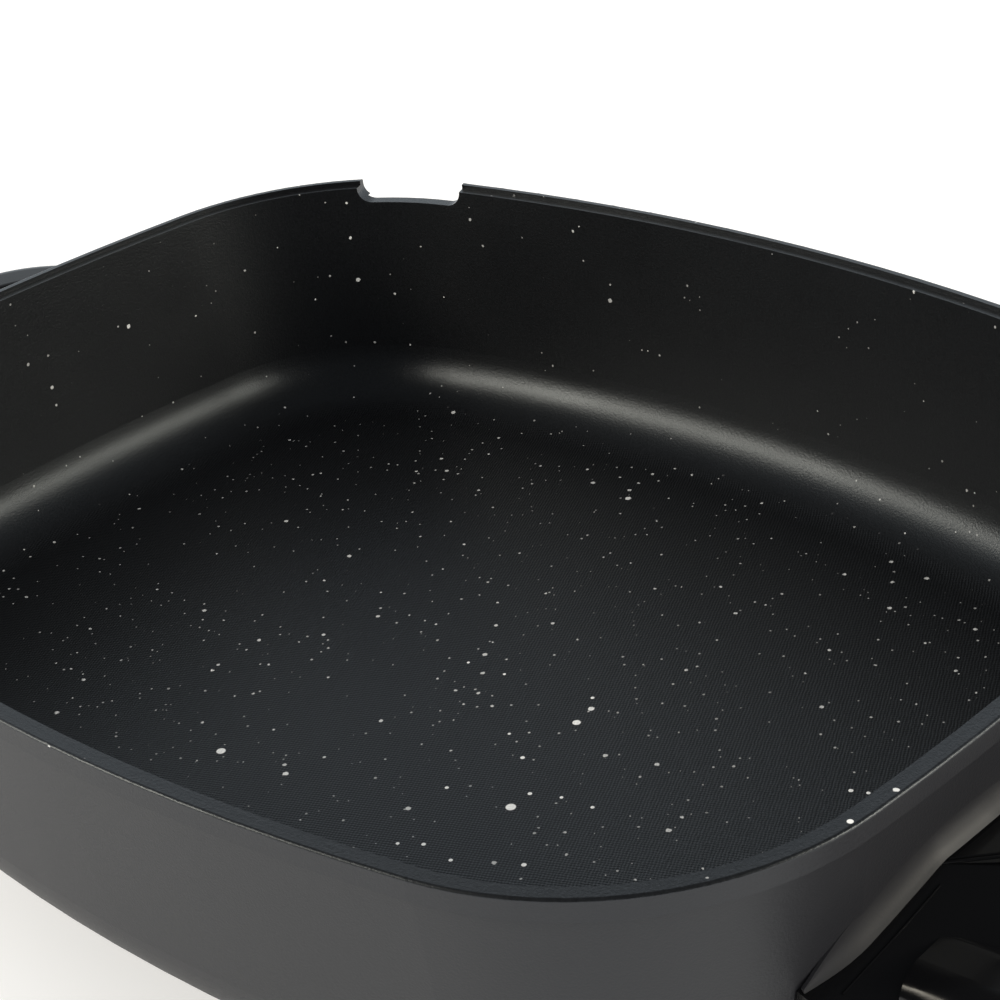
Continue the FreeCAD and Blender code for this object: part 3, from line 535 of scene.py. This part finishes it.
roughness = between(tree, inside, 0, 1, PAINT_ROUGHNESS, COATING_ROUGHNESS)
duller = maths(tree, "MULTIPLY", grain.outputs["Patches"], PATCH_ROUGHNESS)
tree.links.new(maths(tree, "ADD", roughness, duller), shader.inputs["Roughness"])
print("flecks with a place of their own", len(FLOOR_FLECKS) + len(RIM_FLECKS))

# %% [markdown]
# The handles and leg frames are glossy phenolic mouldings. Such black gloss is hardly a
# colour at all: what shows is a weak mirror image, a little blurred by smudges. The control's
# case, its dial and the rubber feet are duller, so the same recipe serves with other values.

# %% Moulding, case, dial and rubber
SMUDGE_ROUGHNESS = 0.08


def moulded_finish(name, dark, pale, rough, grain_scale, relief, specular):
    """A dark finish: base colour in two tones, smudged gloss and surface grain."""
    material, tree, shader = start_material(name)
    shader.inputs["Specular IOR Level"].default_value = specular
    grain = use_group(tree, grain_group, Scale=grain_scale)
    smudges = use_group(tree, smudge_group, Scale=35.0)
    tree.links.new(mixed_colour(tree, grain.outputs["Patches"], dark, pale),
                   shader.inputs["Base Color"])
    tree.links.new(maths(tree, "MULTIPLY_ADD", smudges.outputs["Amount"], SMUDGE_ROUGHNESS,
                         rough),
                   shader.inputs["Roughness"])
    bump(tree, shader, grain.outputs["Height"], relief)
    return material


gloss_black = moulded_finish("gloss_black_moulding", (0.0040, 0.0040, 0.0045, 1),
                             (0.0055, 0.0055, 0.0060, 1), rough=0.13, grain_scale=700.0,
                             relief=0.00001, specular=0.25)
case_black = moulded_finish("grained_black_case", (0.011, 0.011, 0.012, 1),
                            (0.015, 0.015, 0.016, 1), rough=0.46, grain_scale=2100.0,
                            relief=0.00009, specular=0.4)
dial_black = moulded_finish("satin_black_dial", (0.013, 0.013, 0.014, 1),
                            (0.018, 0.018, 0.019, 1), rough=0.34, grain_scale=1500.0,
                            relief=0.00003, specular=0.4)
rubber_black = moulded_finish("matt_black_rubber", (0.018, 0.018, 0.018, 1),
                              (0.026, 0.025, 0.024, 1), rough=0.72, grain_scale=1100.0,
                              relief=0.00012, specular=0.3)
print("mouldings", gloss_black.name, case_black.name, dial_black.name, rubber_black.name)

# %% [markdown]
# Bright screws, pins and the probe are plated steel with fine lines from drawing. The sheath
# of the heating element has been red hot: it is dull and mottled brown to blue-grey. The
# guard round the socket is enamelled, so it takes the recipe of the mouldings.

# %% Metals
LINE_ROUGHNESS = 0.18


def metal_finish(name, dark, pale, rough, relief, stretch, mottled=False):
    """Metal with drawn lines, or mottled by heat."""
    material, tree, shader = start_material(name, Metallic=1.0)
    lines = use_group(tree, line_group, Scale=420.0, Stretch=stretch)
    grain = use_group(tree, grain_group, Scale=500.0)
    factor = grain.outputs["Patches"] if mottled else lines.outputs["Height"]
    tree.links.new(mixed_colour(tree, factor, dark, pale), shader.inputs["Base Color"])
    tree.links.new(maths(tree, "MULTIPLY_ADD", lines.outputs["Height"], LINE_ROUGHNESS, rough),
                   shader.inputs["Roughness"])
    bump(tree, shader, lines.outputs["Height"], relief)
    return material


bright_metal = metal_finish("bright_plated_steel", (0.46, 0.46, 0.47, 1),
                            (0.66, 0.66, 0.66, 1), rough=0.2, relief=0.00003, stretch=0.05)
sheath_metal = metal_finish("heated_sheath", (0.085, 0.062, 0.048, 1),
                            (0.17, 0.17, 0.19, 1), rough=0.42, relief=0.00005, stretch=0.6,
                            mottled=True)
brass_metal = metal_finish("contact_brass", (0.56, 0.38, 0.14, 1),
                           (0.72, 0.53, 0.24, 1), rough=0.24, relief=0.00003, stretch=0.08)
guard_metal = moulded_finish("enamelled_guard", (0.017, 0.017, 0.018, 1),
                             (0.024, 0.024, 0.025, 1), rough=0.3, grain_scale=300.0,
                             relief=0.00006, specular=0.5)
print("metals", bright_metal.name, sheath_metal.name, brass_metal.name, guard_metal.name)

# %% [markdown]
# The beads round the terminal pins are unglazed ceramic: pale, matt and slightly stained.
# The pilot lamp's lens is clear red plastic, which carries light through its own body.

# %% Ceramic and lens
bead_ceramic, tree, shader = start_material("bead_ceramic", Roughness=0.62)
grain = use_group(tree, grain_group, Scale=1300.0)
tree.links.new(mixed_colour(tree, grain.outputs["Patches"], (0.66, 0.61, 0.52, 1),
                            (0.79, 0.76, 0.69, 1)), shader.inputs["Base Color"])
bump(tree, shader, grain.outputs["Height"], 0.00008)

red_lens, tree, shader = start_material("red_lens", Transmission_Weight=0.55, IOR=1.49)
smudges = use_group(tree, smudge_group, Scale=80.0)
tree.links.new(mixed_colour(tree, smudges.outputs["Amount"], (0.50, 0.018, 0.012, 1),
                            (0.42, 0.022, 0.016, 1)), shader.inputs["Base Color"])
tree.links.new(maths(tree, "MULTIPLY_ADD", smudges.outputs["Amount"], 0.1, 0.08),
               shader.inputs["Roughness"])

# %% [markdown]
# The record that came with the solids names a finish, or slot, for each of them. Each solid
# gets the material of its slot; its mesh and its place aren't touched.

# %% Finishes given to the solids
FINISH_OF_SLOT = {
    "nonstick_coating": coating, "element_sheath": sheath_metal, "bright_steel": bright_metal,
    "guard_steel": guard_metal, "ceramic": bead_ceramic, "black_moulding": gloss_black,
    "control_case": case_black, "dial_plastic": dial_black, "brass_contacts": brass_metal,
    "black_rubber": rubber_black, "lens_red": red_lens}
slot_of_node = {part["node"]: part["material_slot"] for part in frame["record"]["subparts"]}
for name, solid in frame["nodes"].items():
    finish = FINISH_OF_SLOT[slot_of_node[name]]
    if not solid.material_slots:
        solid.data.materials.append(finish)
    for material_slot in solid.material_slots:
        material_slot.material = finish
    low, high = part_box(name)
    print(name, [round(1000 * v, 1) for v in (*low, *high)])

# %% [markdown]
# The solids have every main form. What follows are the small things that a hand or a close
# look finds: lines in the mouldings, ribs, screw recesses and the figures on the dial. Each
# piece is made where it belongs, then its place is written into its mesh, and it is told
# which body it moves with.

# %% Helpers for pieces
SMOOTH_ANGLE = math.radians(40)


def make_active(piece):
    """Only this piece selected, and active, so that an operator acts on it alone."""
    deselect_all()
    piece.select_set(True)
    bpy.context.view_layer.objects.active = piece


def edit_whole(operator, **settings):
    """One edit mode operator on the whole of the active piece."""
    bpy.ops.object.mode_set(mode="EDIT")
    bpy.ops.mesh.select_all(action="SELECT")
    operator(**settings)
    bpy.ops.object.mode_set(mode="OBJECT")


def settle(piece, name, body, finish):
    """Place kept in the mesh, smooth faces, a finish, and the body that it moves with."""
    make_active(piece)
    bpy.ops.object.transform_apply(location=True, rotation=True, scale=True)
    bpy.ops.object.shade_smooth_by_angle(angle=SMOOTH_ANGLE)
    piece.name = name
    piece.data.materials.clear()
    piece.data.materials.append(finish)
    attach(piece, body)
    print(name, len(piece.data.polygons), "faces")


def joined(group):
    """Several objects made into one."""
    deselect_all()
    for one in group:
        one.select_set(True)
    bpy.context.view_layer.objects.active = group[0]
    if len(group) > 1:
        bpy.ops.object.join()
    return bpy.context.object


def copy_at(source, offset, mirror=(1, 1, 1)):
    """A copy with its own mesh, moved by an offset or mirrored through the origin's planes."""
    twin = source.copy()
    twin.data = source.data.copy()
    bpy.context.scene.collection.objects.link(twin)
    twin.matrix_world = (Matrix.Diagonal((*mirror, 1)) @ Matrix.Translation(Vector(offset))
                         @ source.matrix_world)
    if mirror[0] * mirror[1] * mirror[2] < 0:
        make_active(twin)
        bpy.ops.object.transform_apply(location=True, rotation=True, scale=True)
        edit_whole(bpy.ops.mesh.normals_make_consistent, inside=False)
    return twin


def mirrored_instead(piece, mirror):
    """The piece turned into its mirror image, or left as it is where nothing is mirrored."""
    if mirror == (1, 1, 1):
        return piece
    twin = copy_at(piece, (0, 0, 0), mirror)
    bpy.data.objects.remove(piece)
    return twin


def row_of(first, offsets):
    """A piece and its copies at offsets, made into one."""
    return joined([first] + [copy_at(first, offset) for offset in offsets])


def rounded_bar(middle, size, edge):
    """A block with all its edges rounded."""
    deselect_all()
    bpy.ops.mesh.primitive_cube_add(size=1.0, location=middle)
    bar = bpy.context.object
    bar.scale = size
    bpy.ops.object.transform_apply(location=False, rotation=False, scale=True)
    edit_whole(bpy.ops.mesh.bevel, offset=edge, segments=3, affect="EDGES")
    return bar


def ring_at(middle, radius, thickness, turn=(0, 0, 0), squash=1.0):
    """A round ring; squash flattens it along its own axis."""
    deselect_all()
    bpy.ops.mesh.primitive_torus_add(major_radius=radius, minor_radius=thickness,
                                     major_segments=72, minor_segments=12,
                                     location=middle, rotation=turn)
    ring = bpy.context.object
    ring.scale = (1, 1, squash)
    return ring


def line_tube(points, thickness, closed=False):
    """A thin round bead that follows points, as a curve that is then made a mesh."""
    curve = bpy.data.curves.new("bead_line", "CURVE")
    curve.dimensions = "3D"
    spline = curve.splines.new("POLY")
    spline.points.add(len(points) - 1)
    for spot, point in zip(spline.points, points):
        spot.co = (*point, 1)
    spline.use_cyclic_u = closed
    curve.bevel_depth = thickness
    curve.bevel_resolution = 3
    curve.use_fill_caps = not closed
    bead = bpy.data.objects.new("bead_line", curve)
    bpy.context.scene.collection.objects.link(bead)
    make_active(bead)
    bpy.ops.object.convert(target="MESH")
    return bpy.context.object


# %% [markdown]
# The handle's flat top folds down to a slanting facet at each side. A fine double bead runs
# along the fold, and a single one a few millimetres off the pan wall, where the mould's edge
# was. Their points come from the same planes as the solid: the top rises outwards, and each
# facet falls away from its fold. The wall leans, so its place depends on the bead's height,
# and that on its place: a few rounds settle both.

# %% Fold beads and wall beads on both handles
FOLD_START = Vector((0.1864, -0.0465, 0.09125))
FOLD_TURN = math.radians(36.0)
FACET_FALL = math.tan(math.radians(25.0))
TOP_RISE = math.tan(math.radians(4.0))
FOLD_LEAN = math.tan(FOLD_TURN) + TOP_RISE / (FACET_FALL * math.cos(FOLD_TURN))
FOLD_END = 0.2125
FOLD_OVERRUN = 0.001
END_BOW_RADIUS = 0.730
END_BOW_MIDDLE = -0.540
RIM_BAND = 0.0012
WALL_LEAN = math.tan(math.radians(6.0))
BEAD = 0.00035
BEAD_SPACING = 0.0016
WALL_BEAD_OFF = 0.0056
WALL_BEAD_START = 0.003
WALL_BEAD_STEP = 0.0021
WALL_BEAD_POINTS = 15
SEAT_ROUNDS = 3


def fold_line(aside):
    """Two points on the fold, moved sideways by aside along the flat top."""
    points = []
    for x in (FOLD_START.x - FOLD_OVERRUN, FOLD_END):
        y = FOLD_START.y + (x - FOLD_START.x) * FOLD_LEAN + aside
        points.append((x, y, FOLD_START.z + (x - FOLD_START.x) * TOP_RISE))
    return points


def facet_height(x, y):
    """Height of the facet under the handle's -Y fold."""
    away = ((x - FOLD_START.x) * math.sin(FOLD_TURN) - (y - FOLD_START.y) * math.cos(FOLD_TURN))
    return FOLD_START.z - away * FACET_FALL


def wall_place(y, z):
    """Where the outer end wall stands at a height."""
    reach = END_BOW_RADIUS - RIM_BAND - (RIM_HEIGHT - z) * WALL_LEAN
    return END_BOW_MIDDLE + math.sqrt(reach ** 2 - y ** 2)


def wall_line(off):
    """Points on the facet that follow the pan wall at a distance."""
    points = []
    for step in range(WALL_BEAD_POINTS):
        y = FOLD_START.y - WALL_BEAD_START - WALL_BEAD_STEP * step
        z = FOLD_START.z
        for _ in range(SEAT_ROUNDS):
            x = wall_place(y, z) + off
            z = facet_height(x, y)
        points.append((x, y, z))
    return points


for side_name, sign in (("right", 1), ("left", -1)):
    for flank, flip in (("front", 1), ("back", -1)):
        beads = [line_tube(fold_line(aside), BEAD) for aside in (0.0, BEAD_SPACING)]
        beads.append(line_tube(wall_line(WALL_BEAD_OFF), BEAD))
        settle(mirrored_instead(joined(beads), (sign, flip, 1)),
               f"{side_name}_{flank}_handle_beads", "skillet", gloss_black)

# %% [markdown]
# Just above the moulding the cast wall sweeps outwards to the ledge that the handle is
# screwed to. This hollow root catches the light as a pale stripe. A flat grid is a good start
# for such a surface: one direction follows the wall, the other follows a short arc, and
# Solidify turns the sheet into metal. The arc starts a hair inside the wall, so that the
# stripe grows out of it without a step.

# %% Hollow roots of the end walls
ROOT_RADIUS = 0.0095
ROOT_SWEEP = math.radians(50.0)
ROOT_HALF_WIDTH = 0.0835
ROOT_TAPER = 0.016
ROOT_GAP = 0.0003
ROOT_SINK = 0.00045
ROOT_END_SHARE = 0.15
SHEET_THICKNESS = 0.0007
pan_paint = moulded_finish("satin_pan_paint", PAINT_DARK, PAINT_PALE, rough=0.50,
                           grain_scale=1600.0, relief=0.00003, specular=0.40)


def moulding_height(x, y):
    """Height of the handle moulding's top or facet."""
    flat = FOLD_START.z + (x - FOLD_START.x) * TOP_RISE
    return min(flat, facet_height(x, -abs(y)))


def root_point(along, across):
    """A point of the root: along runs from -1 to 1, across from the wall (0) to the edge (1)."""
    y = along * ROOT_HALF_WIDTH
    full = min(1.0, (ROOT_HALF_WIDTH - abs(y)) / ROOT_TAPER)
    share = ROOT_END_SHARE + (1 - ROOT_END_SHARE) * math.sin(full * math.pi / 2)
    radius = ROOT_RADIUS * share
    edge_off = radius * (1 - math.cos(ROOT_SWEEP))
    seat = FOLD_START.z
    for _ in range(SEAT_ROUNDS):
        seat = moulding_height(wall_place(y, seat) + edge_off, y)
    angle = ROOT_SWEEP * across
    z = seat + ROOT_GAP + radius * (math.sin(ROOT_SWEEP) - math.sin(angle))
    return wall_place(y, z) - ROOT_SINK + radius * (1 - math.cos(angle)), y, z


for side_name, mirror in (("right", (1, 1, 1)), ("left", (-1, 1, 1))):
    deselect_all()
    bpy.ops.mesh.primitive_grid_add(x_subdivisions=64, y_subdivisions=10, size=2.0)
    sheet = bpy.context.object
    for vertex in sheet.data.vertices:
        vertex.co = root_point(vertex.co.x, (vertex.co.y + 1) / 2)
    metal = sheet.modifiers.new("metal", "SOLIDIFY")
    metal.thickness = SHEET_THICKNESS
    metal.offset = 0.0
    bpy.ops.object.modifier_apply(modifier=metal.name)
    edit_whole(bpy.ops.mesh.normals_make_consistent, inside=False)
    settle(mirrored_instead(sheet, mirror), side_name + "_wall_root", "skillet",
           pan_paint)

# %% [markdown]
# Under the bar of each handle, small ribs keep wet fingers from slipping. One rib is made
# and copied along the bar. They are soft-edged, as moulded ribs are.

# %% Finger ribs under the grips
GRIP_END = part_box("right_handle")[1][0]
GRIP_MIDDLE = GRIP_END - 0.0125
GRIP_UNDERSIDE = 0.0690
RIB_PITCH = 0.008
RIB_SIZE = (0.013, 0.0028, 0.0022)
RIB_ROUND = 0.0009
for side_name, sign in (("right", 1), ("left", -1)):
    first = rounded_bar((sign * GRIP_MIDDLE, -2 * RIB_PITCH, GRIP_UNDERSIDE), RIB_SIZE,
                        RIB_ROUND)
    ribs = row_of(first, [(0, RIB_PITCH * step, 0) for step in range(1, 5)])
    settle(ribs, side_name + "_finger_ribs", "skillet", gloss_black)

# %% [markdown]
# A leg's outer face would look bare and would sink as the moulding cools, so moulders put
# shallow ribs on it. Two ribs run down each leg and draw together towards the foot.

# %% Leg ribs
LEG_FACE = 0.076
LEG_MIDDLE = 0.031
LEG_RIB_SIZE = (0.0022, 0.0014, 0.040)
LEG_RIB_ROUND = 0.0006
LEG_RIB_LEANS = ((0.1745, 5.0), (0.1885, -1.5))
leg_ribs = []
for x, lean in LEG_RIB_LEANS:
    rib = rounded_bar((x, -LEG_FACE, LEG_MIDDLE), LEG_RIB_SIZE, LEG_RIB_ROUND)
    rib.rotation_euler = (0, math.radians(-lean), 0)
    leg_ribs.append(rib)
front_right = joined(leg_ribs)
for side_name, mirror in (("back_right", (1, -1, 1)), ("front_left", (-1, 1, 1)),
                          ("back_left", (-1, -1, 1))):
    twin = copy_at(front_right, (0, 0, 0), mirror)
    settle(twin, side_name + "_leg_ribs", "skillet", gloss_black)
settle(front_right, "front_right_leg_ribs", "skillet", gloss_black)

# %% [markdown]
# Each rubber foot is a push-in disc with a soft lip. The lip is a ring pressed flat, around
# the disc just above the table.

# %% Foot lips
LIP_HEIGHT = 0.0011
LIP_RADIUS = 0.0096
LIP_THICKNESS = 0.001
for end in ("right", "left"):
    for flank in ("front", "back"):
        low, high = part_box(f"foot_pad_{flank}_{end}")
        middle = ((low[0] + high[0]) / 2, (low[1] + high[1]) / 2, LIP_HEIGHT)
        lip = ring_at(middle, LIP_RADIUS, LIP_THICKNESS, squash=0.9)
        settle(lip, f"foot_lip_{flank}_{end}", "skillet", rubber_black)

# %% [markdown]
# A screw is recognised by its recess. The head starts as a disc with a rounded edge; a
# boolean modifier cuts a cross into it, and the finished head is copied to each screw. The
# blades that cut it are sized as shares of the head's radius and depth.

# %% Screw heads with a cross recess
HEAD_ROUND = 0.35
BLADE_LENGTH = 1.15
BLADE_WIDTH = 0.24
BLADE_DEPTH = 1.3
BLADE_ROUND = 0.05


def cross_head(middle, radius, depth):
    """A flat-topped head that looks down, with a cross recess cut into it."""
    deselect_all()
    bpy.ops.mesh.primitive_cylinder_add(vertices=40, radius=radius, depth=depth,
                                        location=middle)
    head = bpy.context.object
    edit_whole(bpy.ops.mesh.bevel, offset=depth * HEAD_ROUND, segments=3, affect="EDGES")
    for turn_angle in (0.0, math.pi / 2):
        blade = rounded_bar((middle[0], middle[1], middle[2] - depth / 2),
                            (radius * BLADE_LENGTH, radius * BLADE_WIDTH,
                             depth * BLADE_DEPTH), radius * BLADE_ROUND)
        blade.rotation_euler = (0, 0, turn_angle)
        make_active(head)
        cutter = head.modifiers.new("recess", "BOOLEAN")
        cutter.operation = "DIFFERENCE"
        cutter.object = blade
        bpy.ops.object.modifier_apply(modifier=cutter.name)
        bpy.data.objects.remove(blade)
    return head


def corner_offsets(x, y):
    """From one corner of a rectangle to its three others."""
    return (0, y, 0), (x, 0, 0), (x, y, 0)


HANDLE_SCREW = Vector((0.191, 0.032, 0.0526))
heads = row_of(cross_head(HANDLE_SCREW, radius=0.0043, depth=0.0012),
               corner_offsets(-2 * HANDLE_SCREW.x, -2 * HANDLE_SCREW.y))
settle(heads, "handle_screw_recesses", "skillet", bright_metal)
CASE_SCREW = Vector((0.197, 0.022, 0.0096))
CASE_SCREW_SPACING = 0.040
heads = row_of(cross_head(CASE_SCREW, radius=0.0027, depth=0.0009),
               corner_offsets(CASE_SCREW_SPACING, -2 * CASE_SCREW.y))
settle(heads, "case_screw_recesses", "control", bright_metal)

# %% [markdown]
# The pan's underside shows how it was cast: a round pad where the metal entered the mould,
# and small pads where pins pushed the casting out.

# %% Casting pads under the floor
UNDERSIDE = 0.037
PAD_SINK = 0.3
PAD_ROUND = 0.3


def casting_pad(x, y, radius, height):
    """A low round pad with a softened edge."""
    deselect_all()
    bpy.ops.mesh.primitive_cylinder_add(vertices=56, radius=radius, depth=height,
                                        location=(x, y, UNDERSIDE - height * PAD_SINK))
    low_pad = bpy.context.object
    edit_whole(bpy.ops.mesh.bevel, offset=height * PAD_ROUND, segments=2, affect="EDGES")
    return low_pad


INNER_PADS = ((-0.062, 0.062), (-0.045, 0.045))
OUTER_PADS = ((-0.135, 0.125), (-0.070, 0.070))
pads = [casting_pad(0, 0, radius=0.012, height=0.0016),
        casting_pad(0, 0, radius=0.0055, height=0.0026)]
for places_x, places_y in (INNER_PADS, OUTER_PADS):
    pads += [casting_pad(x, y, radius=0.004, height=0.0014)
             for x in places_x for y in places_y]
settle(joined(pads), "casting_pads", "skillet", coating)

# %% [markdown]
# The control's case gets what every plug-in control has: a bead where its halves meet, air
# slots beside the lamp shown as raised louvres, a bezel round the lamp's lens, and ribs on
# the cord bushing. The case's own box gives the bead its outline.

# %% Case seam, louvres, bezel and bushing ribs
cover_low, cover_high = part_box("control_cover")
CASE_START = cover_low[0]
CASE_END = cover_high[0]
CASE_HALF = cover_high[1]
CASE_TOP = cover_high[2]
CASE_CORNER = 0.008
SEAM_HEIGHT = cover_low[2]
SEAM_BEAD = 0.00055
CORNER_STEPS = 8


def case_outline(height):
    """The case's rounded outline at one height."""
    points = []
    for cx, cy, start in ((CASE_END - CASE_CORNER, CASE_HALF - CASE_CORNER, 0),
                          (CASE_START + CASE_CORNER, CASE_HALF - CASE_CORNER, 90),
                          (CASE_START + CASE_CORNER, CASE_CORNER - CASE_HALF, 180),
                          (CASE_END - CASE_CORNER, CASE_CORNER - CASE_HALF, 270)):
        for step in range(CORNER_STEPS + 1):
            angle = math.radians(start + step * 90 / CORNER_STEPS)
            points.append((cx + CASE_CORNER * math.cos(angle),
                           cy + CASE_CORNER * math.sin(angle), height))
    return points


LOUVRE_START = 0.1945
LOUVRE_PITCH = 0.0032
LOUVRE_SIZE = (0.0016, 0.030, 0.0014)
ABOVE_CASE = CASE_TOP + 0.0001
LENS_PLACE = 0.214
BUSHING_PLACE = 0.226
BUSHING_RIBS = (0.0342, 0.0360)
settle(line_tube(case_outline(SEAM_HEIGHT), SEAM_BEAD, closed=True), "case_seam_bead",
       "control", case_black)
louvres = row_of(rounded_bar((LOUVRE_START, 0, ABOVE_CASE), LOUVRE_SIZE, edge=0.0005),
                 [(LOUVRE_PITCH * step, 0, 0) for step in range(1, 4)])
settle(louvres, "case_louvres", "control", case_black)
settle(ring_at((LENS_PLACE, 0, ABOVE_CASE), radius=0.0048, thickness=0.0007, squash=0.9),
       "lens_bezel", "control", bright_metal)
rings = [ring_at((BUSHING_PLACE, y, SEAM_HEIGHT), radius=0.0050, thickness=0.0007,
                 turn=(math.pi / 2, 0, 0)) for y in BUSHING_RIBS]
settle(joined(rings), "bushing_ribs", "control", rubber_black)

# %% [markdown]
# The figures on the dial are pale paint. Text is typed as a curve, given a hair of
# thickness, made a mesh, and turned to face outwards round the skirt. The figures turn past
# a small triangle on the case, which is a cylinder with three sides.

# %% Dial figures and the mark on the case
pale_paint, tree, shader = start_material("pale_figure_paint", Roughness=0.5)
grain = use_group(tree, grain_group, Scale=2500.0)
tree.links.new(mixed_colour(tree, grain.outputs["Height"], (0.58, 0.58, 0.56, 1),
                            (0.76, 0.76, 0.73, 1)), shader.inputs["Base Color"])
bump(tree, shader, grain.outputs["Height"], 0.00002)
SKIRT_FACE = 0.2500
FIGURE_CIRCLE = 0.01655
FIGURE_HEIGHT = 0.0036
FIGURE_THICKNESS = 0.00008
MARK_PLACE = 0.2395
DIAL_FIGURES = (("OFF", 0), ("200", 75), ("250", 131), ("300", 187), ("350", 243), ("400", 300))
FACING_OUT = Matrix(((0, 0, 1), (1, 0, 0), (0, 1, 0))).to_4x4()
figures = []
for words, angle in DIAL_FIGURES:
    deselect_all()
    bpy.ops.object.text_add(location=(0, 0, 0))
    text = bpy.context.object
    text.data.body = words
    text.data.size = FIGURE_HEIGHT
    text.data.extrude = FIGURE_THICKNESS
    text.data.align_x = "CENTER"
    bpy.ops.object.convert(target="MESH")
    figure = bpy.context.object
    figure.matrix_world = (Matrix.Translation((SKIRT_FACE, 0, SEAM_HEIGHT))
                           @ Matrix.Rotation(math.radians(angle), 4, "X")
                           @ Matrix.Translation((0, 0, FIGURE_CIRCLE)) @ FACING_OUT)
    figures.append(figure)
settle(joined(figures), "dial_figures", "dial", pale_paint)
deselect_all()
bpy.ops.mesh.primitive_cylinder_add(vertices=3, radius=0.0022, depth=0.0004,
                                    location=(MARK_PLACE, 0, CASE_TOP),
                                    rotation=(0, 0, math.radians(-90)))
settle(bpy.context.object, "dial_mark", "control", pale_paint)

# %% [markdown]
# Where the heated tube ends, a crimped ferrule closes it round the cold pin. Crimping leaves
# three rings side by side, the middle one the thickest.

# %% Element ferrules
ELEMENT_HEIGHT = 0.027
PIN_OFFSET = 0.0127
SHEATH_RADIUS = 0.0035
CRIMPS = ((0.1475, 0.0006), (0.1510, 0.0008), (0.1545, 0.0006))
rings = [ring_at((x, y, ELEMENT_HEIGHT), SHEATH_RADIUS, thickness, (0, math.pi / 2, 0))
         for y in (PIN_OFFSET, -PIN_OFFSET) for x, thickness in CRIMPS]
settle(joined(rings), "element_ferrules", "skillet", sheath_metal)

# %% [markdown]
# Dressing a part mustn't change its size.

# %% Finish
print("the dressing is done")
